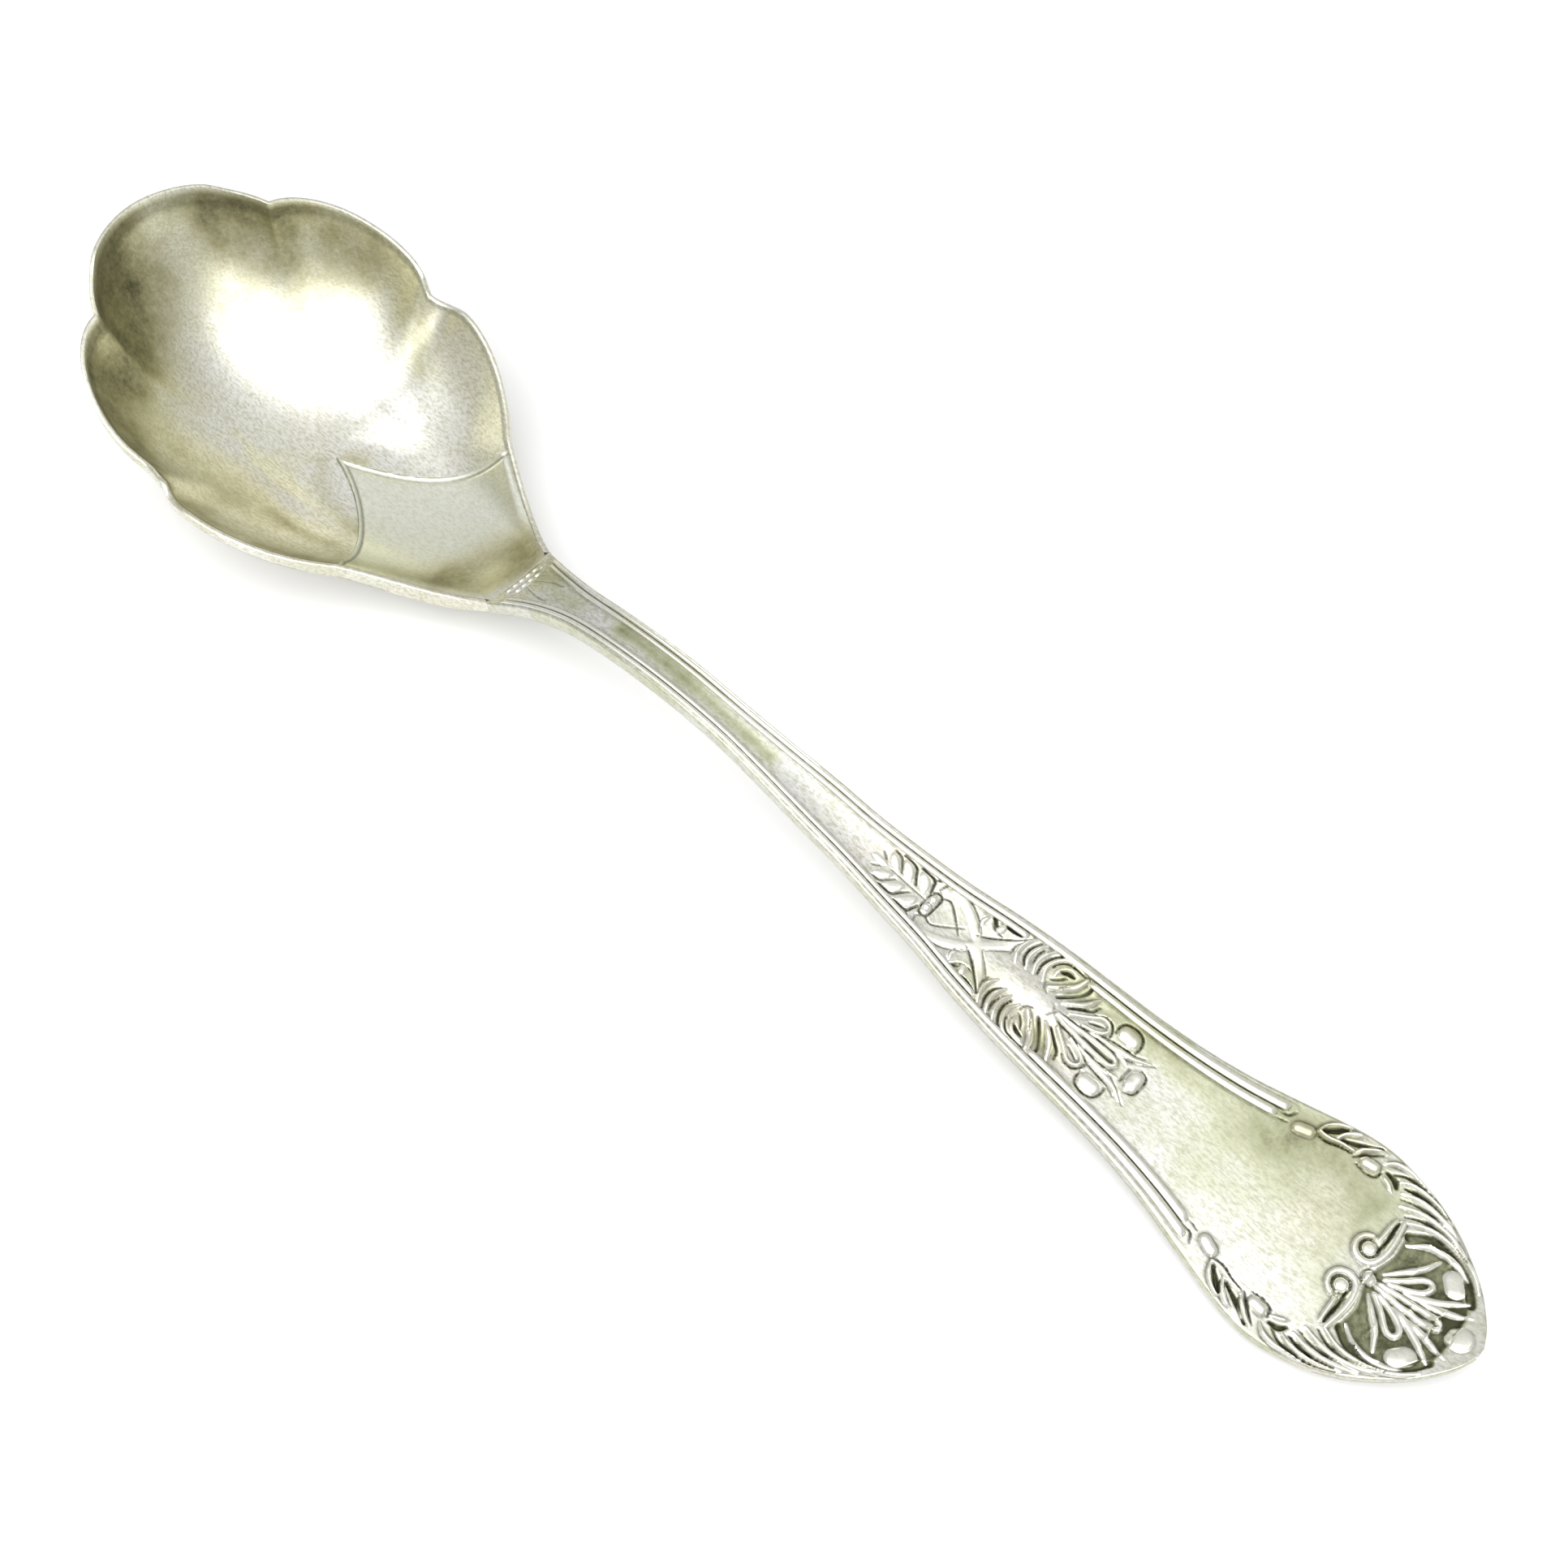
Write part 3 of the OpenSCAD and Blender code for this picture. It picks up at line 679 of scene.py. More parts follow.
class NodeSheet:
    """A short hand for making shader nodes and links in one tree."""

    def __init__(self, tree: bpy.types.NodeTree) -> None:
        """Keeps the tree."""
        self.tree = tree

    def add(self, kind: str, values: dict | None = None, **settings: object) -> bpy.types.Node:
        """Makes a node.

        Args:
            kind: Blender's name of the node type.
            values: input names or numbers, and a value or an output socket for each.
            settings: properties of the node.

        Returns:
            The node.
        """
        node = self.tree.nodes.new(kind)
        for key, value in settings.items():
            setattr(node, key, value)
        for key, value in (values or {}).items():
            if isinstance(value, bpy.types.NodeSocket):
                self.tree.links.new(value, node.inputs[key])
            else:
                node.inputs[key].default_value = value
        return node

    def math(self, operation: str, a: object, b: object = 0.0) -> bpy.types.NodeSocket:
        """Result of a math node."""
        return self.add("ShaderNodeMath", {0: a, 1: b}, operation=operation).outputs[0]

    def noise(self, place: object, scale: float, detail: float, roughness: float = 0.5,
              distortion: float = 0.0) -> bpy.types.Node:
        """A noise texture read at a place.

        Args:
            place: the place's socket.
            scale: how fine the noise is.
            detail: how many finer layers it has.
            roughness: how strong they are.
            distortion: how far it is warped.

        Returns:
            The texture's node.
        """
        return self.add("ShaderNodeTexNoise", {
            "Vector": place, "Scale": scale, "Detail": detail, "Roughness": roughness,
            "Distortion": distortion})

    def blend(self, share: object, a: object, b: object) -> bpy.types.NodeSocket:
        """Colour between two colours.

        Args:
            share: share of the second colour, as a number or a socket.
            a: first colour, or a socket.
            b: second colour, or a socket.

        Returns:
            The blended colour's socket.
        """
        node = self.add("ShaderNodeMix", data_type="RGBA")
        for socket, value in zip((node.inputs[0], node.inputs[6], node.inputs[7]), (share, a, b)):
            if isinstance(value, bpy.types.NodeSocket):
                self.tree.links.new(value, socket)
            else:
                socket.default_value = value if isinstance(value, float) else (*value[:3], 1.0)
        return node.outputs[2]

    def spread(self, value: object, low: float, high: float, a: float = 0.0,
               b: float = 1.0) -> bpy.types.NodeSocket:
        """A value mapped from one range to another, and held inside it."""
        node = self.add("ShaderNodeMapRange", {0: value, 1: low, 2: high, 3: a, 4: b})
        return node.outputs[0]


class SilverEffects:
    """The shader node groups that all the silver shares."""

    def __init__(self) -> None:
        """Builds the groups."""
        self.place = self._place_group()
        self.marks = self._marks_group()
        self.film = self._film_group()

    @staticmethod
    def _new(name: str, inputs: tuple[tuple[str, str, object], ...],
             outputs: tuple[tuple[str, str], ...]) -> tuple[bpy.types.NodeTree, NodeSheet,
                                                           bpy.types.Node, bpy.types.Node]:
        """A node group with its sockets.

        Args:
            name: the group's name.
            inputs: label, type and default value of each input.
            outputs: label and type of each output.

        Returns:
            The group, a sheet for its nodes, and its input and output nodes.
        """
        group = bpy.data.node_groups.new(name, "ShaderNodeTree")
        for label, kind, value in inputs:
            socket = group.interface.new_socket(name=label, in_out="INPUT", socket_type=kind)
            if value is not None:
                socket.default_value = value
        for label, kind in outputs:
            group.interface.new_socket(name=label, in_out="OUTPUT", socket_type=kind)
        sheet = NodeSheet(group)
        return group, sheet, group.nodes.new("NodeGroupInput"), group.nodes.new("NodeGroupOutput")

    def _place_group(self) -> bpy.types.NodeTree:
        """Place on the spoon in millimetres, stretched along its length.

        Returns:
            The node group.
        """
        group, sheet, given, result = self._new(
            "place_in_mm", (("Along", "NodeSocketFloat", 1.0),),
            (("Place", "NodeSocketVector"), ("Stretched", "NodeSocketVector")))
        where = sheet.add("ShaderNodeTexCoord").outputs["Object"]
        mm = sheet.add("ShaderNodeVectorMath", {0: where, 1: (1 / MM,) * 3},
                       operation="MULTIPLY").outputs[0]
        parts = sheet.add("ShaderNodeSeparateXYZ", {0: mm})
        along = sheet.math("MULTIPLY", parts.outputs[0], given.outputs["Along"])
        joined = sheet.add("ShaderNodeCombineXYZ", {0: along, 1: parts.outputs[1],
                                                    2: parts.outputs[2]})
        group.links.new(mm, result.inputs["Place"])
        group.links.new(joined.outputs[0], result.inputs["Stretched"])
        return group

    def _marks_group(self) -> bpy.types.NodeTree:
        """Fine brushed lines, stray scratches and small dents.

        Returns:
            The node group.
        """
        group, sheet, given, result = self._new(
            "brushed_marks",
            (("Place", "NodeSocketVector", None), ("Stretched", "NodeSocketVector", None),
             ("Fineness", "NodeSocketFloat", 6.0), ("Scratches", "NodeSocketFloat", 0.5),
             ("Dents", "NodeSocketFloat", 0.5)),
            (("Height", "NodeSocketFloat"), ("Mask", "NodeSocketFloat")))
        place = given.outputs["Place"]
        lines = sheet.noise(given.outputs["Stretched"], given.outputs["Fineness"], 3.0,
                            0.6).outputs[0]
        veer = sheet.noise(place, 0.35, 1.0)
        bent = sheet.add("ShaderNodeVectorMath", {0: place, 1: veer.outputs[1]},
                         operation="ADD")
        wave = sheet.add("ShaderNodeTexVoronoi", {"Vector": bent.outputs[0], "Scale": 0.55},
                         feature="DISTANCE_TO_EDGE").outputs[0]
        scratch = sheet.spread(wave, 0.0, 0.012, 1.0, 0.0)
        broken = sheet.noise(place, 1.1, 2.0).outputs[0]
        scratch = sheet.math("MULTIPLY", scratch, sheet.spread(broken, 0.52, 0.62))
        scratch = sheet.math("MULTIPLY", scratch, given.outputs["Scratches"])
        dents = sheet.noise(place, 0.7, 4.0, 0.55).outputs[0]
        dents = sheet.math("MULTIPLY", dents, given.outputs["Dents"])
        height = sheet.math("ADD", sheet.math("MULTIPLY", lines, 0.35), dents)
        height = sheet.math("SUBTRACT", height, scratch)
        group.links.new(height, result.inputs["Height"])
        group.links.new(sheet.math("ADD", scratch, sheet.spread(lines, 0.45, 0.75, 0.0, 0.5)),
                        result.inputs["Mask"])
        return group

    def _film_group(self) -> bpy.types.NodeTree:
        """Silver's colour under a cloudy film, brown tarnish with painted shade and reflection,
        and dark recesses.

        Returns:
            The node group.
        """
        group, sheet, given, result = self._new(
            "tarnish_and_shade_film",
            (("Place", "NodeSocketVector", None), ("Recess", "NodeSocketFloat", 0.0),
             ("TarnishAndShade", "NodeSocketFloat", 0.0), ("Marks", "NodeSocketFloat", 0.0),
             ("Film", "NodeSocketFloat", 0.5), ("Grain", "NodeSocketFloat", 0.2),
             ("Silver", "NodeSocketColor", (0.8, 0.8, 0.74, 1.0)),
             ("Olive", "NodeSocketColor", (0.6, 0.6, 0.42, 1.0)),
             ("Khaki", "NodeSocketColor", (0.36, 0.34, 0.2, 1.0)),
             ("Warm", "NodeSocketColor", (0.8, 0.72, 0.62, 1.0)),
             ("Dark", "NodeSocketColor", (0.05, 0.05, 0.03, 1.0))),
            (("Color", "NodeSocketColor"), ("Roughness", "NodeSocketFloat")))
        place = given.outputs["Place"]
        cloud = sheet.noise(place, 0.16, 5.0, 0.62).outputs[0]
        warm = sheet.noise(place, 0.09, 2.0, distortion=0.6).outputs[0]
        speck = sheet.noise(place, 2.2, 5.0, 0.75).outputs[0]
        film = sheet.math("MULTIPLY", sheet.spread(cloud, 0.4, 0.72, 0.0, 0.3),
                          given.outputs["Film"])
        worn = sheet.math("ADD", sheet.spread(cloud, 0.28, 0.72, 0.62, 1.38),
                          sheet.spread(speck, 0.3, 0.7, -0.16, 0.16))
        # Tarnish with its painted shade and reflection, over the random film
        tarnish_and_shade = sheet.math("ADD", sheet.math("MULTIPLY", given.outputs["TarnishAndShade"], worn), film)
        tone = sheet.blend(sheet.spread(tarnish_and_shade, 0.0, 0.3), given.outputs["Silver"],
                           given.outputs["Olive"])
        blush = sheet.math("MULTIPLY", sheet.spread(warm, 0.5, 0.7), given.outputs["Film"])
        tone = sheet.blend(sheet.math("MULTIPLY", blush, 0.55), tone, given.outputs["Warm"])
        tone = sheet.blend(sheet.spread(tarnish_and_shade, 0.3, 0.62), tone, given.outputs["Khaki"])
        rubbed = sheet.add("ShaderNodeVectorMath", {0: place, 1: (0.4, 1.0, 1.0)},
                           operation="MULTIPLY").outputs[0]
        pits = sheet.noise(rubbed, 4.2, 3.0, 0.7).outputs[0]
        pits = sheet.math("MULTIPLY", sheet.spread(pits, 0.42, 0.66), given.outputs["Grain"])
        tone = sheet.blend(pits, tone, given.outputs["Khaki"])
        tone = sheet.blend(sheet.spread(tarnish_and_shade, 0.62, 1.0, 0.0, 0.9), tone, given.outputs["Dark"])
        deep = sheet.math("MULTIPLY", given.outputs["Recess"],
                          sheet.spread(speck, 0.25, 0.7, 0.8, 1.1))
        deep = sheet.math("ADD", deep, sheet.math("MULTIPLY", given.outputs["Marks"], 0.1))
        tone = sheet.blend(sheet.math("MINIMUM", deep, 0.96), tone, given.outputs["Dark"])
        rough = sheet.math("ADD", sheet.spread(cloud, 0.3, 0.7, 0.0, 0.07),
                           sheet.math("MULTIPLY", given.outputs["Recess"], 0.25))
        rough = sheet.math("ADD", rough, sheet.math("MULTIPLY", tarnish_and_shade, 0.12))
        rough = sheet.math("ADD", rough, sheet.math("MULTIPLY", given.outputs["Marks"], 0.05))
        group.links.new(tone, result.inputs["Color"])
        group.links.new(rough, result.inputs["Roughness"])
        return group


@dataclass(frozen=True)
class SilverFinish:
    """How one part of the spoon's silver is worn, tarnished and painted with shade and reflection.
    """

    name: str
    silver: Colour = (0.83, 0.83, 0.77)
    olive: Colour = (0.62, 0.61, 0.43)
    khaki: Colour = (0.36, 0.34, 0.2)
    warm: Colour = (0.83, 0.76, 0.68)
    dark: Colour = (0.05, 0.05, 0.026)
    film: float = 0.5
    grain: float = 0.2
    roughness: float = 0.17
    along: float = 0.12
    fineness: float = 7.0
    scratches: float = 0.5
    dents: float = 0.5
    bump: float = 0.12
    bump_m: float = 0.00006

    def material(self, effects: SilverEffects) -> bpy.types.Material:
        """Makes the material.

        Args:
            effects: the shared node groups.

        Returns:
            A metal whose colour, roughness and fine surface all come from nodes.
        """
        material = bpy.data.materials.new(self.name)
        material.use_nodes = True
        tree = material.node_tree
        tree.nodes.clear()
        sheet = NodeSheet(tree)
        place = sheet.add("ShaderNodeGroup", node_tree=effects.place)
        place.inputs["Along"].default_value = self.along
        recess = sheet.add("ShaderNodeAttribute", attribute_name="recess").outputs["Fac"]
        # Per-point tarnish, with painted shade and painted reflection, from the mesh
        tarnish_and_shade = sheet.add("ShaderNodeAttribute", attribute_name="tarnish_and_shade").outputs["Fac"]
        marks = sheet.add("ShaderNodeGroup", node_tree=effects.marks)
        film = sheet.add("ShaderNodeGroup", node_tree=effects.film)
        for label, value in (("Fineness", self.fineness), ("Scratches", self.scratches),
                             ("Dents", self.dents)):
            marks.inputs[label].default_value = value
        film.inputs["Film"].default_value = self.film
        film.inputs["Grain"].default_value = self.grain
        for label, value in (("Silver", self.silver), ("Olive", self.olive),
                             ("Khaki", self.khaki), ("Warm", self.warm), ("Dark", self.dark)):
            film.inputs[label].default_value = (*value, 1.0)
        tree.links.new(place.outputs["Place"], marks.inputs["Place"])
        tree.links.new(place.outputs["Stretched"], marks.inputs["Stretched"])
        tree.links.new(place.outputs["Place"], film.inputs["Place"])
        tree.links.new(recess, film.inputs["Recess"])
        tree.links.new(tarnish_and_shade, film.inputs["TarnishAndShade"])
        tree.links.new(marks.outputs["Mask"], film.inputs["Marks"])
        bump = sheet.add("ShaderNodeBump", {"Strength": self.bump, "Distance": self.bump_m,
                                            "Height": marks.outputs["Height"]})
        rough = sheet.math("ADD", film.outputs["Roughness"], self.roughness)
        shader = sheet.add("ShaderNodeBsdfPrincipled", {
            "Base Color": film.outputs["Color"], "Metallic": 1.0, "Roughness": rough,
            "Normal": bump.outputs[0]})
        out = sheet.add("ShaderNodeOutputMaterial")
        tree.links.new(shader.outputs[0], out.inputs[0])
        return material


BOWL_SILVER = SilverFinish("bowl_silver", silver=(0.885, 0.89, 0.86),
                           olive=(0.65, 0.64, 0.49), film=0.4, grain=0.54,
                           roughness=0.27, along=0.3, fineness=5.0,
                           scratches=0.6, bump=0.2)
TONGUE_SILVER = SilverFinish("tongue_silver", silver=(0.84, 0.86, 0.77), film=0.25,
                             grain=0.28, roughness=0.27, scratches=0.3, bump=0.12)
HANDLE_SILVER = SilverFinish("handle_silver", silver=(0.78, 0.78, 0.765),
                             olive=(0.6, 0.61, 0.46), khaki=(0.37, 0.38, 0.24),
                             film=0.66, grain=0.66, roughness=0.25, fineness=13.0,
                             scratches=0.25, bump=0.16)
THREAD_SILVER = SilverFinish("thread_silver", film=0.2, roughness=0.22, bump=0.08)
RELIEF_SILVER = SilverFinish("relief_silver", film=0.25, roughness=0.22, bump=0.1,
                             scratches=0.2)


def set_piece(piece: MeshPiece, node: str,
              material: bpy.types.Material) -> bpy.types.Object:
    """Builds a piece and sets it in the place of its node.

    Args:
        piece: the mesh to build.
        node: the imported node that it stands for.
        material: the material made from the finish.

    Returns:
        The object.
    """
    obj = piece.build()
    obj.data.materials.append(material)
    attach(obj, BODY)
    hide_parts(node)
    return obj


@dataclass
class Bowl:
    """The lobed bowl and the tongue plate that is soldered over its heel."""

    form: SpoonForm
    crown: float = 0.05
    rim_rings: int = 5
    inner_rings: int = 76
    outer_rings: int = 44
    inner_power: float = 4.0
    outer_power: float = 3.2
    wall_inset: float = 0.12
    # Darkening of the inner wall at the heel and at the tip: painted reflection of the room, over
    # some tarnish
    wall_tarnish_and_shade: tuple[float, float] = (0.24, 0.34)
    shell_crease: float = 48.0
    tongue_crease: float = 60.0
    throat_near: float = 0.03
    soft_steps: tuple[tuple[float, float, float], ...] = ((0.05, 0.84, 0.15), (0.16, 0.62, 0.3))
    ring_power: float = 1.15
    wall_steps: tuple[float, ...] = (0.0, 0.22, 0.5, 0.8)
    throat_land: float = 0.06
    outside_stain: float = 0.12
    tongue_t: float = 0.34
    tongue_lift: float = 0.012
    tongue_sink: float = 0.25
    tongue_rows: int = 64
    tongue_power: float = 1.6
    tongue_edge: float = 0.16
    tongue_run_out: float = 0.9
    lip_h: float = 0.12
    lip_dip: float = 0.06
    tongue_far: Points = ((24.3, 0.0), (34.2, 3.2), (39.8, 9.75))
    tongue_near: Points = ((24.3, 0.0), (33.0, -2.4), (38.6, -10.3))
    ridges: tuple[Groove, ...] = (
        (((21.6, 16.0), (24.6, 12.2), (29.0, 9.6), (34.0, 8.6), (39.0, 9.0)), 1.7, 0.05),
        (((15.0, 5.6), (20.0, 6.3), (25.4, 6.3), (31.0, 6.8)), 1.4, 0.17),
    )
    hollows: tuple[Groove, ...] = (
        (((23.0, 2.2), (27.2, 3.8), (31.5, 4.8)), 1.4, 0.08),
        (((25.5, 13.6), (31.0, 11.4), (37.0, 10.0)), 1.9, 0.06),
    )
    # Darker patches on the bowl's inner wall, over some tarnish: painted reflection of the room on
    # the tip and near walls, and painted shade along the notch creases and the flute hollows
    tarnish_and_shade_patches: tuple[TarnishAndShadeMark, ...] = (
        TarnishAndShadeMark(((3.2, 5.8), (5.0, 8.0), (7.4, 9.9)), 1.7, 0.5),
        TarnishAndShadeMark(((7.6, 11.6), (8.8, 10.7), (9.4, 9.7)), 1.0, 0.45),
        TarnishAndShadeMark(((9.8, 12.6), (12.2, 14.2), (15.2, 15.2)), 1.7, 0.4),
        TarnishAndShadeMark(((1.8, -2.2), (4.0, -5.0), (6.8, -7.9), (9.4, -10.6), (10.4, -14.0)), 2.3, 0.55),
        TarnishAndShadeMark(((10.0, -14.4), (15.4, -15.2), (19.5, -15.9), (22.0, -16.4)), 1.7, 0.5),
        TarnishAndShadeMark(((17.5, -11.6), (23.0, -10.9), (28.5, -10.2)), 2.0, 0.16),
        TarnishAndShadeMark(((20.5, -8.9), (25.0, -9.1), (29.0, -9.2)), 1.1, 0.1),
        TarnishAndShadeMark(((24.5, -15.4), (29.3, -15.0), (34.0, -12.8), (38.5, -10.8)), 1.5, 0.35),
        TarnishAndShadeMark(((26.5, -9.6), (29.7, -9.1), (33.5, -8.1)), 0.8, 0.33),
        TarnishAndShadeMark(((23.6, -1.3), (27.2, -3.7), (31.5, -4.7), (33.0, -4.5)), 1.0, 0.24),
        TarnishAndShadeMark(((25.0, 0.8), (26.4, 1.3)), 0.9, 0.26),
        TarnishAndShadeMark(((21.8, 15.2), (23.2, 12.8), (24.4, 11.4)), 0.7, 0.14),
    )
    tongue_stains: tuple[TarnishAndShadeMark, ...] = (
        TarnishAndShadeMark(((38.6, -9.4), (42.6, -6.2), (47.0, -3.2)), 1.6, 0.3),
        TarnishAndShadeMark(((45.4, -3.2), (46.8, 0.4), (48.4, 3.0)), 2.4, 0.5),
        TarnishAndShadeMark(((49.5, -2.5), (50.6, 0.0), (50.2, 2.5)), 1.8, 0.45),
    )
    rim: np.ndarray = field(init=False)
    centre: np.ndarray = field(init=False)
    at_throat: np.ndarray = field(init=False)
    edge: np.ndarray = field(init=False)
    top: np.ndarray = field(init=False)
    heel: np.ndarray = field(init=False)
    low: np.ndarray = field(init=False)
    bearing: np.ndarray = field(init=False)
    reach: np.ndarray = field(init=False)

    def __post_init__(self) -> None:
        """Works out the rim and the radial faces."""
        form = self.form
        self.rim = self._rim()
        self.centre = np.array([form.floor_u, 0.0])
        ahead, behind = np.roll(self.rim, -1, 0), np.roll(self.rim, 1, 0)
        way = ahead - behind
        way /= np.linalg.norm(way, axis=1)[:, None]
        self.at_throat = self.rim[:, 0] > form.bowl_l - self.throat_near
        land = np.where(self.at_throat, self.throat_land, form.rim_land)[:, None]
        self.edge = self.rim + np.stack([way[:, 1], -way[:, 0]], -1) * land
        self.top = np.where(self.at_throat, form.face_h(form.bowl_l, self.rim[:, 1]),
                            self._rim_top(self.rim[:, 0]))
        share = self.rim[:, 0] / form.bowl_l
        self.heel = smooth((share - 0.5) / 0.37)
        low = self.top - mix(form.rim_edge_t, form.heel_edge_t, self.heel**2)
        low = low + (form.heel_edge_t - form.throat_t / 2) * smooth(
            (self.rim[:, 0] - 0.9 * form.bowl_l) / (0.1 * form.bowl_l))
        across = np.abs(2 * self.rim[:, 1] / form.throat_w)
        end = form.throat_top_h - form.throat_t + form.belly(form.bowl_l, across)
        self.low = np.where(self.at_throat & (across < 0.99), end, low)
        offset = self.edge - self.centre
        self.bearing = np.arctan2(offset[:, 1], offset[:, 0])
        self.reach = np.hypot(offset[:, 0], offset[:, 1])

    def _rim(self) -> np.ndarray:
        """Outline of the bowl, from the throat's corner round the tip and back.

        Returns:
            Places in order round the bowl.
        """
        half = self.form.bowl_w / 2
        lobes = (
            (((0, 0), (0, 0.254), (0.064, 0.503), (0.135, 0.598)), 46),
            (((0.135, 0.598), (0.149, 0.844), (0.311, 1.081), (0.426, 0.948)), 58),
            (((0.426, 0.948), (0.515, 1.075), (0.65, 0.908), (0.754, 0.621)), 54),
            (((0.754, 0.621), (0.834, 0.471), (0.923, 0.318),
              (1, self.form.throat_w / self.form.bowl_w)), 40),
        )
        side = [np.zeros((1, 2))]
        for shares, count in lobes:
            side.append(bezier(shares, np.arange(1, count + 1) / count)
                        * [self.form.bowl_l, half])
        side = np.concatenate(side)
        across = self.form.throat_w * (0.5 - np.arange(1, 24) / 24)
        throat = np.stack([np.full(23, self.form.bowl_l), across], -1)
        return np.concatenate([side[:0:-1] * [1, -1], side, throat])

    def _rim_top(self, u: np.ndarray) -> np.ndarray:
        """Height of the rim.

        Args:
            u: places along the spoon.

        Returns:
            The height at each place.
        """
        rows = np.array([
            (0, 1), (0.043, 0.979), (0.074, 0.936), (0.135, 0.878), (0.22, 0.808),
            (0.296, 0.734), (0.356, 0.681), (0.395, 0.644), (0.414, 0.6),
            (0.426, 0.521), (0.452, 0.493), (0.516, 0.511), (0.594, 0.468),
            (0.671, 0.407), (0.754, 0.354), (0.876, 0.288), (0.944, 0.283),
            (1, self.form.throat_top_h / self.form.tip_rim_h),
        ])
        return cubic_table(rows * [1, self.form.tip_rim_h], u / self.form.bowl_l) - self.crown

    def _around(self, values: np.ndarray, bearing: np.ndarray) -> np.ndarray:
        """Values of the rim, read at other bearings from the bowl's middle."""
        order = np.argsort(self.bearing)
        return np.interp(bearing, self.bearing[order], values[order], period=2 * math.pi)

    def _softened(self, values: np.ndarray, radius: float) -> np.ndarray:
        """Values round the bowl, smoothed over their bearing.

        Args:
            values: a value for each place of the rim.
            radius: the smoothing's radius in radians.

        Returns:
            The smoothed values, in the same order.
        """
        even = np.linspace(-math.pi, math.pi, 721)[:-1]
        wave = self._around(values, even)
        cells = radius / (even[1] - even[0])
        reach = int(cells * 3)
        wave = sum(share * np.roll(wave, k - reach)
                   for k, share in enumerate(blur_weights(reach, cells)))
        return np.interp(self.bearing, even, wave, period=2 * math.pi)

    @staticmethod
    def _profile(k: np.ndarray, rise: np.ndarray, reach: np.ndarray, heel: np.ndarray,
                 power: float) -> np.ndarray:
        """Height of a radial profile: a round bowl that turns into the heel's trough.

        Args:
            k: share of the way from the middle to the rim.
            rise: height of the rim over the middle.
            reach: distance of the rim from the middle.
            heel: share of the trough's profile, from 0 to 1.
            power: how late the trough's profile rises.

        Returns:
            The height over the middle.
        """
        a = 2 * np.arctan(rise / reach)
        arc = (1 - np.sqrt(np.maximum(1 - (k * np.sin(a)) ** 2, 0))) / (1 - np.cos(a))
        return rise * mix(arc, k**power, heel)

    def inner_at(self, u: np.ndarray, y: np.ndarray) -> np.ndarray:
        """Height of the bowl's inner face.

        Args:
            u: places along the spoon.
            y: places across it.

        Returns:
            The height at each place.
        """
        du, dy = u - self.centre[0], y - self.centre[1]
        bearing, r = np.arctan2(dy, du), np.hypot(du, dy)
        rise = self.top - self.form.sheet_t
        reach, heel = self._around(self.reach, bearing), self._around(self.heel, bearing)
        k = np.clip(r / reach, 0, 1)
        h = self._profile(k, self._around(rise, bearing), reach, heel, self.inner_power)
        for radius, start, span in self.soft_steps:
            soft_reach = self._around(self._softened(self.reach, radius), bearing)
            soft_rise = self._around(self._softened(rise, radius), bearing)
            soft = self._profile(np.clip(r / soft_reach, 0, 1.02), soft_rise, soft_reach, heel,
                                 self.inner_power)
            h = mix(soft, h, smooth((k - start) / span))
        h = h + self.form.sheet_t
        return h + self._flutes(u, np.abs(y)) * smooth((0.97 - k) / 0.12)

    def _flutes(self, u: np.ndarray, y: np.ndarray) -> np.ndarray:
        """Soft ridges that part the bowl's lobes and run towards the tongue.

        Args:
            u: places along the spoon.
            y: places across it.

        Returns:
            The height that the ridges and hollows add at each place.
        """
        total = np.zeros(np.broadcast(u, y).shape)
        for sign, lines in ((1.0, self.ridges), (-1.0, self.hollows)):
            for points, half, height in lines:
                best = np.full(total.shape, 9.0)
                fade = np.zeros(total.shape)
                for gap, s in path_gaps(flowing(points, 14), u, y):
                    nearer = gap < best
                    best = np.where(nearer, gap, best)
                    fade = np.where(nearer, smooth((1 - s) * 3) * smooth(s * 6 + 0.25), fade)
                total += sign * height * fade * np.exp(-((best / half) ** 2) * 1.6)
        return total

    def shell(self) -> MeshPiece:
        """The bowl's closed mesh.

        Returns:
            The mesh, with its painted shade line inside the rim, and its tarnish and painted
            reflection, at its points.
        """
        form, n = self.form, len(self.rim)
        k = 1 - np.linspace(0, 1, self.inner_rings + 1)[:-1] ** self.ring_power
        plan = self.centre + (self.edge - self.centre)[None] * k[:, None, None]
        inner = form.place(plan[..., 0], plan[..., 1], self.inner_at(plan[..., 0], plan[..., 1]))
        t = np.linspace(0, 1, self.rim_rings + 2)[1:-1]
        land = []
        edge_z = self.inner_at(self.edge[:, 0], self.edge[:, 1])
        for s in t:
            plan = mix(self.rim, self.edge, s)
            crown = self.crown * (1 - (2 * s - 1) ** 2 - (1 - s) ** 6)
            crown = np.where(self.at_throat, 0.0, crown)
            land.append(form.place(plan[:, 0], plan[:, 1], mix(self.top, edge_z, s) + crown))
        wall = []
        for s in self.wall_steps:
            z = mix(self.low, self.top - self.wall_inset * (1 - self.at_throat), s)
            wall.append(form.place(self.rim[:, 0], self.rim[:, 1], z))
        q = np.linspace(0, 1, self.outer_rings + 1)[1:-1]
        low_rise = self.low + form.worn_flat_d
        offset = self.rim - self.centre
        reach = np.hypot(offset[:, 0], offset[:, 1])
        under = []
        for s in q:
            plan = self.centre + offset * s
            z = self._profile(s, low_rise, reach, self.heel, self.outer_power)
            z = z - form.worn_flat_d
            under.append(form.place(plan[:, 0], plan[:, 1], np.maximum(z, 0.0)))
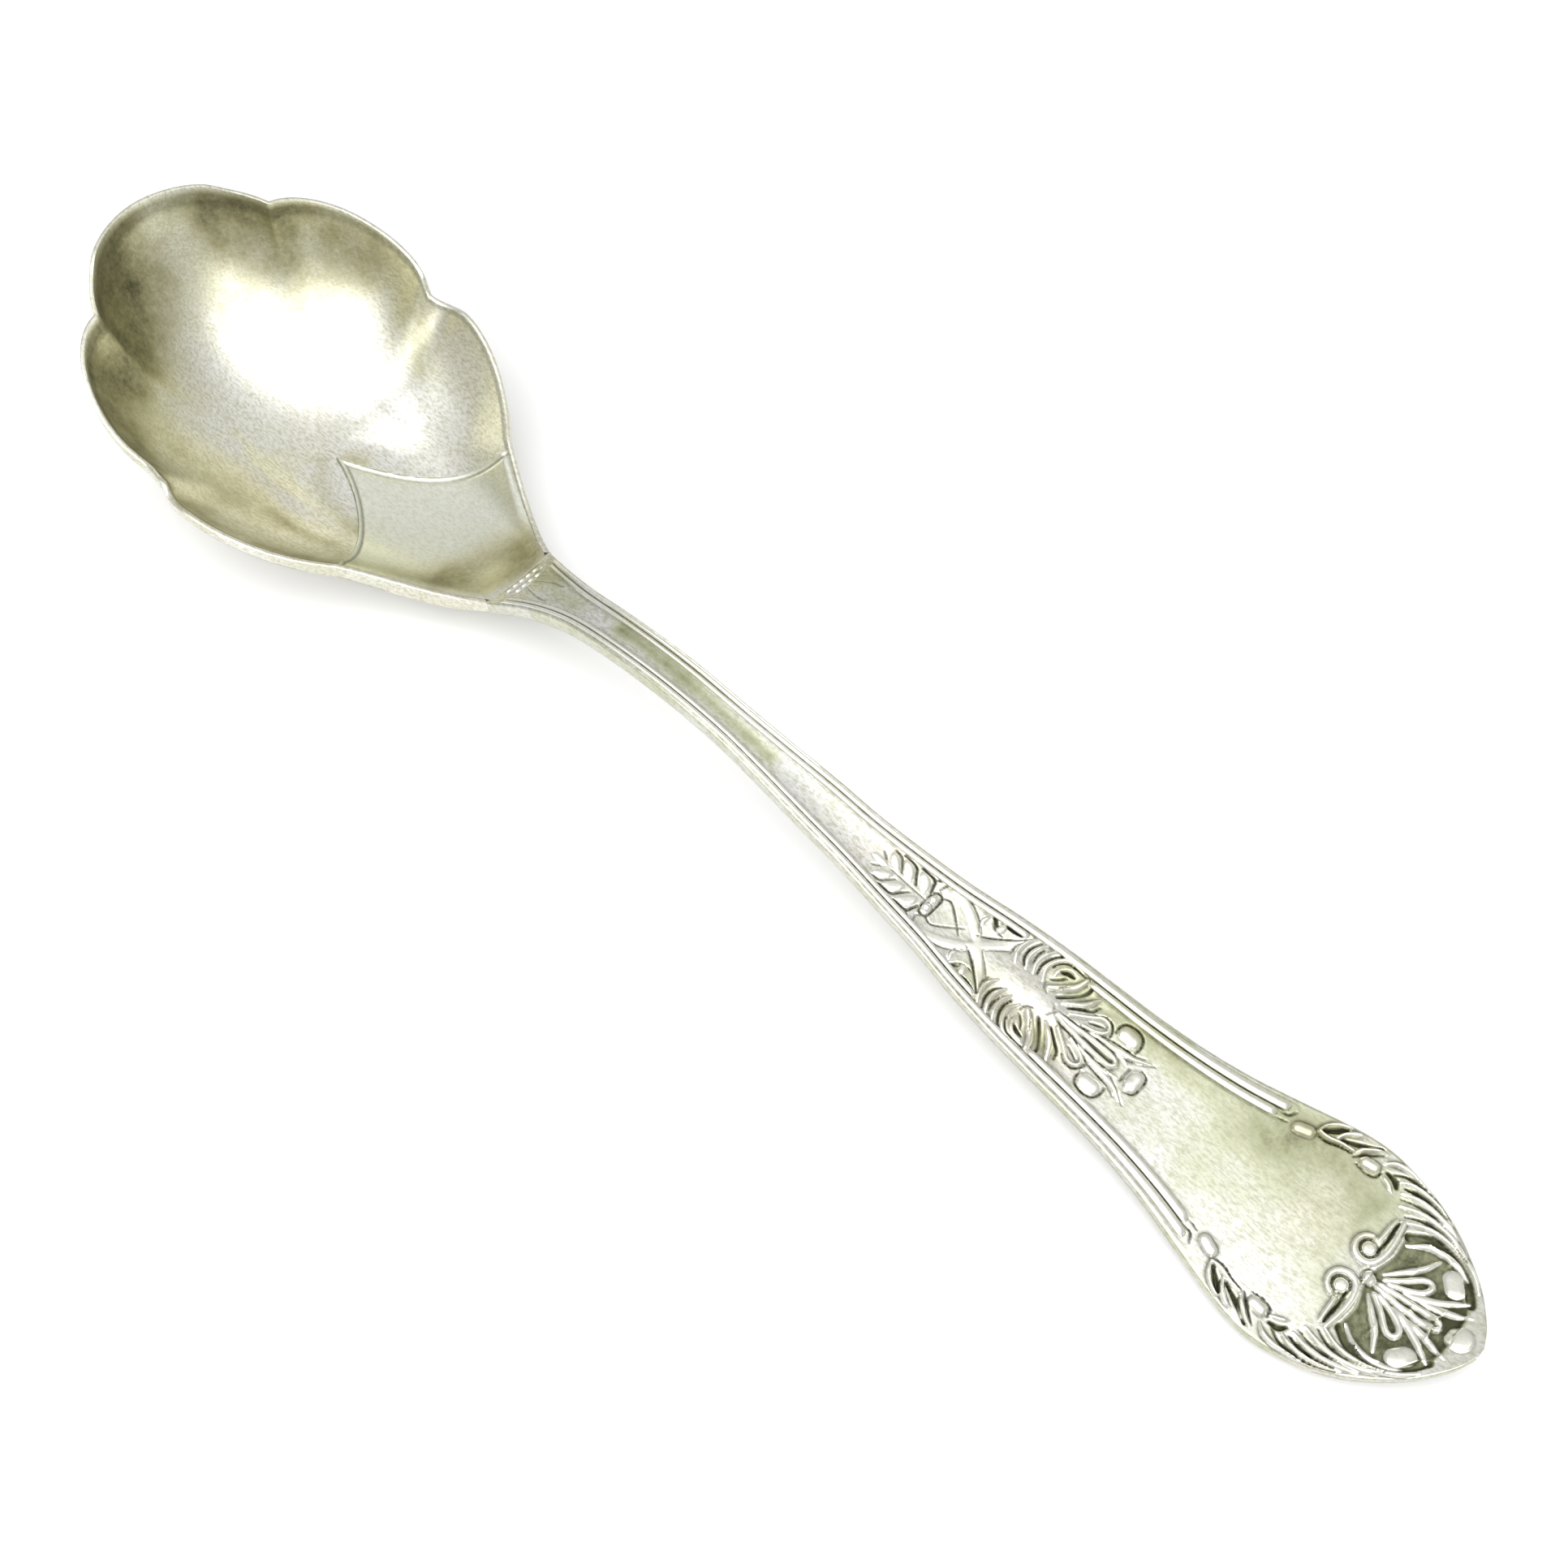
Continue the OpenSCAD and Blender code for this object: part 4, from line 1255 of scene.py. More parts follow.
        floor_in = form.place(*self.centre, self.inner_at(self.centre[:1], self.centre[1:]))
        floor_out = form.place(*self.centre, 0.0)
        rings = under + wall + land + [inner.reshape(-1, n, 3)[i] for i in range(len(k))]
        points = np.concatenate(rings + [floor_out, floor_in])
        count = len(rings)
        top = (count - 1) * n
        faces = [grid_faces(count, n, closed=True, flipped=True),
                 ring_cap(np.arange(n), count * n, True),
                 ring_cap(np.arange(top, top + n), count * n + 1, False)]
        tarnish_and_shade = np.full(len(points), self.outside_stain)
        first = (len(under) + len(wall) + len(land)) * n
        u = points[first:-2, 0] / MM + form.length / 2
        y = points[first:-2, 1] / MM
        tarnish_and_shade[first:-2] = self._wall_tarnish_and_shade(u, y, np.repeat(k, n))
        tarnish_and_shade[-2:] = 0.0
        # A painted dark line, painted shade, on the two rings just inside the rim's edge, carried
        # on the recess attribute
        rim_shade_line = np.zeros(len(points))
        rim_shade_line[first + n : first + 3 * n] = np.tile(0.4 * ~self.at_throat, 2)
        return MeshPiece("lobed_bowl", points, faces, {"recess": rim_shade_line, "tarnish_and_shade": tarnish_and_shade},
                         self.shell_crease)

    def _wall_tarnish_and_shade(self, u: np.ndarray, y: np.ndarray, k: np.ndarray) -> np.ndarray:
        """Darkening of the bowl's inner wall: painted reflection of the room, over some tarnish.

        Args:
            u: places along the spoon.
            y: places across it.
            k: share of the way from the bowl's middle to its rim.

        Returns:
            The strength at each place, from 0 to 1.
        """
        # The far side of the heel is kept clear of the wall's painted reflection and tarnish
        clear_heel = smooth((u - 24.0) / 9.0) * smooth((y + 3.0) / 6.0)
        towards_tip = 1 - smooth((u - 7.0) / 11.0)
        # Darker towards the rim: painted reflection of the room's dim middle, over some tarnish
        wall = mix(*self.wall_tarnish_and_shade, towards_tip) * smooth((k - 0.48) / 0.46)
        wall = wall * (1 - 0.95 * clear_heel)
        clear = (1 - wall) * (1 - tarnish_and_shade_at(self.tarnish_and_shade_patches, u, y))
        return (1 - clear) * smooth((1.0 - k) / 0.012 + 0.2)

    def tongue(self) -> MeshPiece:
        """The tongue plate, with a lip along its three-pointed front edge.

        Returns:
            The mesh, whose foot lies in the bowl's wall.
        """
        form = self.form
        far = bezier(self.tongue_far, np.linspace(0, 1, 81))
        near = bezier(self.tongue_near, np.linspace(0, 1, 81))
        front = np.concatenate([near[:0:-1], far])
        bearing = np.arctan2(front[:, 1], front[:, 0] - self.centre[0])
        start = np.hypot(front[:, 0] - self.centre[0], front[:, 1])
        order = np.argsort(self.bearing)
        limit = self.reach * np.where(self.at_throat, 0.999, 0.992)
        stop = np.interp(bearing, self.bearing[order], limit[order])
        stop = np.maximum(stop, start + 0.02)
        rows, columns = self.tongue_rows, len(bearing)
        t = np.linspace(0, 1, rows)[:, None] ** self.tongue_power
        r = start + (stop - start) * t
        u = self.centre[0] + r * np.cos(bearing)
        y = r * np.sin(bearing)
        base = self.inner_at(u, y)
        gap = np.min(np.hypot(u[..., None] - front[:, 0], y[..., None] - front[:, 1]), -1)
        lip = self.lip_h * bell(gap, 0.22, 0.17) - self.lip_dip * bell(gap, 0.6, 0.2)
        end = smooth((stop - r) / self.tongue_run_out)
        plate = (self.tongue_t * np.sqrt(np.clip(gap / self.tongue_edge, 0, 1)) + lip) * end
        top = form.place(u, y, base + plate + self.tongue_lift)
        under = form.place(u, y, base - self.tongue_sink)
        m = rows * columns
        loop = np.concatenate([
            np.arange(columns), np.arange(1, rows) * columns + columns - 1,
            (rows - 1) * columns + np.arange(columns - 2, -1, -1),
            np.arange(rows - 2, 0, -1) * columns])
        after = np.roll(loop, -1)
        faces = [grid_faces(rows, columns), grid_faces(rows, columns, m, flipped=True),
                 np.stack([loop, after, after + m, loop + m], -1)]
        groove = 0.6 * bell(gap, 0.5, 0.13) + 0.7 * bell(gap, 0.0, 0.06)
        recess = np.tile(np.clip(groove.ravel(), 0, 1), 2)
        tarnish_and_shade = np.tile(tarnish_and_shade_at(self.tongue_stains, u, y).ravel(), 2)
        return MeshPiece("heel_tongue", np.concatenate([top, under]), faces,
                         {"recess": recess, "tarnish_and_shade": tarnish_and_shade}, self.tongue_crease)

    def dress(self, effects: SilverEffects) -> list[bpy.types.Object]:
        """Sets the bowl and its tongue in the place of their nodes."""
        return [set_piece(self.shell(), "bowl", BOWL_SILVER.material(effects)),
                set_piece(self.tongue(), "bowl_tongue",
                          TONGUE_SILVER.material(effects))]


@dataclass(frozen=True)
class Handle:
    """The handle's blank: its struck face, rounded edges and plain back."""

    relief: ReliefMap
    across: int = 190
    crowding: float = 0.86
    edge_turns: tuple[float, ...] = (22.0, 45.0, 68.0, 90.0)
    back: int = 26
    back_share: float = 0.955
    plain_recess: float = 0.07
    plain_stain: float = 0.14
    end_stain: float = 0.1
    sunk_stain: float = 0.74
    sunk_stain_d: float = 0.24
    crease: float = 50.0
    # Darker patches on the face, also carried onto the threads and reliefs; the two along the
    # stem's channel are painted shade and reflection of the hollow channel
    tarnish_and_shade_patches: tuple[TarnishAndShadeMark, ...] = (
        TarnishAndShadeMark(((51.6, -2.0), (51.6, 2.2)), 0.3, 0.5),
        TarnishAndShadeMark(((122.5, 4.4), (126.5, 3.4), (130.0, 2.6)), 1.8, 0.16),
        # Darker towards the terminal's far side (+y)
        TarnishAndShadeMark(((132.5, 5.2), (136.5, 6.0), (140.5, 5.0)), 2.2, 0.46),
        TarnishAndShadeMark(((133.0, 3.6), (137.0, 2.6), (140.0, 1.4)), 2.8, 0.26),
        TarnishAndShadeMark(((124.0, -1.0), (131.0, -1.6), (137.0, -2.4)), 1.8, 0.12),
        TarnishAndShadeMark(((53.0, 1.2), (55.5, 1.4)), 1.0, 0.3),
        TarnishAndShadeMark(((57.0, 0.0), (60.0, 0.0)), 1.0, 0.2),
        # Painted shade and reflection along the middle of the stem's hollow channel
        TarnishAndShadeMark(((65.0, 0.3), (70.0, 0.3), (76.0, 0.1), (83.0, 0.0)), 0.6, 0.5),
        TarnishAndShadeMark(((63.0, 1.3), (77.0, 1.3)), 0.7, 0.2),
        TarnishAndShadeMark(((107.0, -2.2), (111.0, -2.5), (115.0, -2.3)), 1.3, 0.36),
        # The next two patches darken the scrolls and the blade towards the far side (+y)
        TarnishAndShadeMark(((112.5, 3.0), (115.5, 3.3), (119.5, 3.8), (122.5, 4.3)), 1.4, 0.46),
        TarnishAndShadeMark(((121.0, 3.4), (125.0, 4.2), (130.0, 5.0), (134.0, 6.0)), 2.0, 0.26),
        TarnishAndShadeMark(((136.0, 3.6), (140.0, 1.0), (141.5, -2.6)), 2.2, 0.2),
        TarnishAndShadeMark(((118.5, 1.6), (122.0, -2.0)), 1.6, 0.16),
    )

    def stations(self) -> np.ndarray:
        """Places along the handle, close together where the ornament is.

        Returns:
            The places in order, from the throat to the point.
        """
        form = self.relief.form
        spans = ((form.bowl_l, 57.0, 0.1), (57.0, 93.6, 0.4), (93.6, 123.2, 0.08),
                 (123.2, 132.0, 0.3), (132.0, 149.6, 0.08), (149.6, 152.0, 0.07),
                 (152.0, form.length, 0.035))
        runs = [np.arange(a, b - step / 4, step) for a, b, step in spans]
        return np.concatenate(runs + [[form.length]])

    def blank(self) -> MeshPiece:
        """The blank's closed mesh.

        Returns:
            The mesh, with the recess, and the tarnish and painted shade, at its points.
        """
        form = self.relief.form
        u = self.stations()[:, None]
        w, t, top = form.half_w(u), form.thick(u), form.edge_h(u)
        r = form.edge_r(u)
        a = np.sin(np.linspace(-1, 1, self.across) * math.pi / 2 * self.crowding)
        a = a / a[-1]
        y = a[None] * (w - r)
        z = form.face_h(u, y) + self.relief.sample(self.relief.ground, u, y)
        dark = self.relief.sample(self.relief.recess, u, y)
        turn = np.radians(np.array(self.edge_turns))
        side_y = (w - r) + r * np.sin(turn)
        side_z = top - r * (1 - np.cos(turn))
        low = top - t
        b = np.linspace(1, -1, self.back)[None] * self.back_share
        back_y = b * w
        back_z = low + form.belly(u, b)
        waist = top - t / 2
        y = np.concatenate([y, side_y, w, back_y, -w, -side_y[:, ::-1]], 1)
        z = np.concatenate([z, side_z, waist, back_z, waist, side_z[:, ::-1]], 1)
        n = y.shape[1]
        value = np.full_like(y, self.plain_recess)
        value[:, : self.across] = dark
        points = form.place(u, y, z)
        rows = len(u)
        ends = form.place(u[[0, -1], 0], np.zeros(2), waist[[0, -1], 0])
        faces = [grid_faces(rows, n, closed=True),
                 ring_cap(np.arange(n), rows * n, False),
                 ring_cap(np.arange((rows - 1) * n, rows * n), rows * n + 1, True)]
        tarnish_and_shade = np.full_like(y, self.plain_stain)
        face = np.arange(n) < self.across
        tarnish_and_shade[:, face] = self.face_tarnish_and_shade(u, y)[:, face]
        return MeshPiece("handle_blank", np.concatenate([points, ends]), faces,
                         {"recess": np.concatenate([value.ravel(), [0.0, 0.0]]),
                          "tarnish_and_shade": np.concatenate([tarnish_and_shade.ravel(), [self.end_stain] * 2])},
                         self.crease)

    def face_tarnish_and_shade(self, u: np.ndarray, y: np.ndarray) -> np.ndarray:
        """Darkening of the face: loose patches of tarnish and of painted shade, and grounds that
        polish never reaches.

        Args:
            u: places along the spoon.
            y: places across it.

        Returns:
            The strength at each place, from 0 to 1.
        """
        depth = self.relief.sample(self.relief.sunk, u, y) / self.sunk_stain_d
        sunk = np.clip(depth - 0.25, 0, 1) * self.sunk_stain
        return 1 - (1 - tarnish_and_shade_at(self.tarnish_and_shade_patches, u, y)) * (1 - sunk)

    def dress(self, effects: SilverEffects) -> list[bpy.types.Object]:
        """Sets the blank in the place of its node."""
        return [set_piece(self.blank(), "handle",
                          HANDLE_SILVER.material(effects))]


@dataclass(frozen=True)
class BorderThreads:
    """A pair of raised threads along each edge of the handle."""

    height: float = 0.27
    gap: float = 0.07
    start: float = 52.7
    end: float = 132.1
    scroll_gap: tuple[float, float] = (108.4, 114.2)
    step: float = 0.25
    sink: float = 0.02
    foot: float = 0.15
    crest_recess: float = 0.3
    tarnish_and_shade_share: float = 0.35
    crease: float = 60.0

    def width(self, u: np.ndarray) -> np.ndarray:
        """Width of one thread at u."""
        return cubic_table([(52, 0.36), (54, 0.42), (90, 0.46), (106, 0.55), (122, 0.69),
                            (132, 0.86)], u)

    def lane(self, form: SpoonForm, u: np.ndarray, number: int) -> np.ndarray:
        """Distance of a thread's middle from the spoon's middle.

        Args:
            form: the spoon's faces.
            u: places along the spoon.
            number: 0 for the outer thread, 1 for the inner one.

        Returns:
            The distance at each place.
        """
        inset = cubic_table([(54, 0.27), (95, 0.3), (108, 0.36), (122, 0.46), (132, 0.62)], u)
        w = self.width(u)
        return form.half_w(u) - inset - w / 2 - number * (w + self.gap)

    def runs(self) -> tuple[tuple[float, float, int], ...]:
        """Start, end and lane number of each thread."""
        return ((self.start, self.end, 0), (self.start + 0.3, self.scroll_gap[0], 1),
                (self.scroll_gap[1], self.end - 0.6, 1))

    def strokes(self, form: SpoonForm) -> list[Stroke]:
        """The threads as strokes, for the recess map.

        Args:
            form: the spoon's faces.

        Returns:
            A stroke for each thread of one edge, mirrored to the other.
        """
        out = []
        for first, last, number in self.runs():
            u = np.linspace(first, last, 60)
            y = self.lane(form, u, number)
            points = tuple(zip((u - DRAWING_ZERO).tolist(), y.tolist()))
            half = tuple((self.width(u) / 2).tolist())
            out.append(Stroke(points, half, (self.height,), Section.ROUND, True, 60))
        return out

    def mesh(self, relief: ReliefMap) -> MeshPiece:
        """The threads' closed mesh.

        Args:
            relief: the maps, for reading the recess.

        Returns:
            The mesh of all threads, on both edges.
        """
        form = relief.form
        turn = np.radians(np.linspace(0, 180, 13))
        cross, lift = np.cos(turn), np.sin(turn) ** 0.8
        points, faces, values, tarnish_and_shade_patches, first = [], [], [], [], 0
        for side in (1.0, -1.0):
            for begin, stop, number in self.runs():
                u = np.arange(begin, stop, self.step)[:, None]
                fade = np.minimum(smooth((u - begin) / 0.6 + 0.15), smooth((stop - u) / 0.7 + 0.1))
                half = self.width(u) / 2 * (0.6 + 0.4 * fade)
                y = self.lane(form, u, number) + half * cross
                z = form.face_h(u, y) + self.height * fade * lift - self.sink
                low_y, low_z = y[:, ::-1][:, [0, -1]], z[:, ::-1][:, [0, -1]] - self.foot
                y = np.concatenate([y, low_y], 1)
                z = np.concatenate([z, low_z], 1)
                n = y.shape[1]
                points.append(form.place(u, y * side, z))
                dark = relief.sample(relief.recess, u, y * side)
                dark[:, 2:11] *= self.crest_recess
                values.append(dark.ravel())
                # Share of the handle's patches of tarnish and painted shade
                tarnish_and_shade_patches.append(self.tarnish_and_shade_share * tarnish_and_shade_at(Handle.tarnish_and_shade_patches, u, y * side).ravel())
                rows = len(u)
                flipped = side > 0
                faces.append(grid_faces(rows, n, first, True, not flipped))
                middle = np.arange(n) + first
                cap = np.stack([np.full(n - 2, middle[0]), middle[1:-1], middle[2:]], -1)
                faces.append(cap[:, ::-1] if not flipped else cap)
                last = cap + (rows - 1) * n
                faces.append(last if not flipped else last[:, ::-1])
                first += rows * n
        tris = [f for f in faces if f.shape[1] == 3]
        quads = [f for f in faces if f.shape[1] == 4]
        return MeshPiece("edge_threads", np.concatenate(points),
                         [np.concatenate(quads), np.concatenate(tris)],
                         {"recess": np.concatenate(values), "tarnish_and_shade": np.concatenate(tarnish_and_shade_patches)},
                         self.crease)

    def dress(self, relief: ReliefMap, effects: SilverEffects) -> bpy.types.Object:
        """Sets the threads in the place of their node."""
        return set_piece(self.mesh(relief), "border_threads",
                         THREAD_SILVER.material(effects))


@dataclass(frozen=True)
class ReliefGroup:
    """One group of the struck ornament, as a piece of its own on the handle."""

    name: str = "relief"
    node: str = ""
    height: float = 0.4
    sink: float = 0.025
    foot: float = 0.14
    polish: float = 0.7
    polish_h: float = 0.2
    tarnish_and_shade_share: float = 0.5
    crease: float = 75.0
    lines: tuple[Groove, ...] = ()
    line_ends: float = 0.5
    line_middle: float = 1.0

    def strokes(self) -> list[Stroke]:
        """Raised strokes of the group."""
        return []

    def pockets(self) -> list[Stroke]:
        """Grooves and grounds that are sunk round the group."""
        return grooves(self.lines, self.line_ends, self.line_middle)

    def swells(self) -> list[Stroke]:
        """Soft swells of the ground under the group."""
        return []

    def mesh(self, relief: ReliefMap) -> MeshPiece:
        """The group's closed mesh: an island for each raised form.

        Args:
            relief: the maps that hold the group's heights.

        Returns:
            The mesh, whose feet lie just under the handle's face.
        """
        form = relief.form
        raised = relief.raised[self.name] - self.sink
        solid = raised > 0
        quad = solid[:-1, :-1] | solid[1:, :-1] | solid[:-1, 1:] | solid[1:, 1:]
        used = np.zeros_like(solid)
        for a in (0, 1):
            for b in (0, 1):
                used[a : a + quad.shape[0], b : b + quad.shape[1]] |= quad
        index = np.full(solid.shape, -1)
        index[used] = np.arange(used.sum())
        i, j = np.nonzero(used)
        u, y = relief.us[i], relief.ys[j]
        z = form.face_h(u, y) - form.shoulder(u, y) + relief.ground[i, j] + raised[i, j]
        top, low = form.place(u, y, z), form.place(u, y, z - self.foot)
        m = len(top)
        qi, qj = np.nonzero(quad)
        a, b = index[qi, qj], index[qi + 1, qj]
        c, d = index[qi + 1, qj + 1], index[qi, qj + 1]
        faces = [np.stack([a, b, c, d], -1), np.stack([d, c, b, a], -1) + m]
        padded = np.pad(quad, 1)
        for di, dj, p, q in ((0, -1, a, b), (1, 0, b, c), (0, 1, c, d), (-1, 0, d, a)):
            open_side = ~padded[qi + 1 + di, qj + 1 + dj]
            p, q = p[open_side], q[open_side]
            faces.append(np.stack([q, p, p + m, q + m], -1))
        dark = relief.recess[i, j] * (1 - self.polish * smooth(raised[i, j] / self.polish_h))
        # Share of the handle's patches of tarnish and painted shade
        tarnish_and_shade = self.tarnish_and_shade_share * tarnish_and_shade_at(Handle.tarnish_and_shade_patches, u, y)
        return MeshPiece(self.name, np.concatenate([top, low]), [np.concatenate(faces)],
                         {"recess": np.tile(dark, 2), "tarnish_and_shade": np.tile(tarnish_and_shade, 2)}, self.crease)

    def dress(self, relief: ReliefMap, material: bpy.types.Material) -> bpy.types.Object:
        """Sets the group in the place of its node."""
        return set_piece(self.mesh(relief), self.node, material)


@dataclass(frozen=True)
class ThroatBeads(ReliefGroup):
    """Two rows of beads across the throat and the grooves behind them."""

    name: str = "throat_beads"
    node: str = "neck_beading"
    rows: tuple[tuple[float, int], ...] = ((50.88, 5), (51.7, 4))
    pitch: float = 0.78
    bead_l: float = 0.64
    bead_w: float = 0.34
    bead_h: float = 0.19

    def strokes(self) -> list[Stroke]:
        """Two rows of short beads.

        Returns:
            A stroke for each bead.
        """
        out = []
        for u, beads in self.rows:
            for k in range(beads):
                y = (k - (beads - 1) / 2) * self.pitch
                out.append(knob(u + 0.05 * abs(y), y, self.bead_l / 2, self.bead_w / 2,
                                self.bead_h, 90.0, False))
        return out

    def pockets(self) -> list[Stroke]:
        """Grooves between and behind the rows.

        Returns:
            A stroke for each groove.
        """
        lines = (((51.41, 2.2), (51.33, 1.1), (51.29, 0.0)),
                 ((52.03, 2.0), (52.11, 1.1), (52.13, 0.0)),
                 ((52.3, 0.5), (54.0, 1.0), (55.6, 1.1)))
        return [Stroke(points, (0.08, 0.1), (0.15,), Section.SOFT) for points in lines]


@dataclass(frozen=True)
class LeafSpray(ReliefGroup):
    """Leaves in pairs on a stem, pointing to the bowl, and two berries."""

    name: str = "leaf_spray_relief"
    node: str = "leaf_spray"
    height: float = 0.15
    line_ends: float = 0.6
    lines: tuple[Groove, ...] = (
        (((94.0, 0.8), (94.55, 0.4)), 0.12, 0.16),
        (((94.6, 1.5), (95.3, 1.42), (95.8, 0.9), (96.2, 0.38)), 0.12, 0.22),
        (((95.4, 1.72), (96.7, 1.64), (97.2, 1.05), (97.7, 0.42)), 0.13, 0.26),
        (((97.2, 1.9), (98.5, 1.84), (98.8, 1.3), (99.0, 0.78)), 0.14, 0.28),
        (((98.6, 1.9), (99.0, 2.15)), 0.1, 0.16),
        (((99.1, 0.0), (99.15, 0.7), (99.3, 1.08), (99.75, 1.2), (100.05, 0.95),
          (100.1, 0.3), (100.12, 0.0)), 0.13, 0.24),
    )

    def strokes(self) -> list[Stroke]:
        """Bud, leaf pairs and berries.

        Returns:
            A stroke for each form.
        """
        h = self.height
        leaves = (
            (((95.75, 0.34), (95.2, 0.78), (94.6, 1.2)), 0.36),
            (((97.05, 0.38), (96.5, 0.98), (95.8, 1.45)), 0.45),
            (((98.5, 0.44), (98.1, 1.12), (97.4, 1.64)), 0.47),
        )
        out = [leaf(points, half, h, Section.FLAT) for points, half in leaves]
        out.append(leaf(((93.5, 0.0), (94.1, 0.0), (94.9, 0.0)), 0.32, h, Section.FLAT, False))
        out.append(knob(99.6, 0.44, 0.42, 0.41, 2.2 * h))
        return out

    def pockets(self) -> list[Stroke]:
        """Grooves between the leaves and round the berries.

        Returns:
            A stroke for each groove, with the stem's last.
        """
        stem = Stroke(((95.4, 0.0), (99.0, 0.0)), (0.07, 0.1, 0.1), (0.12,), Section.SOFT, False)
        return super().pockets() + [stem]


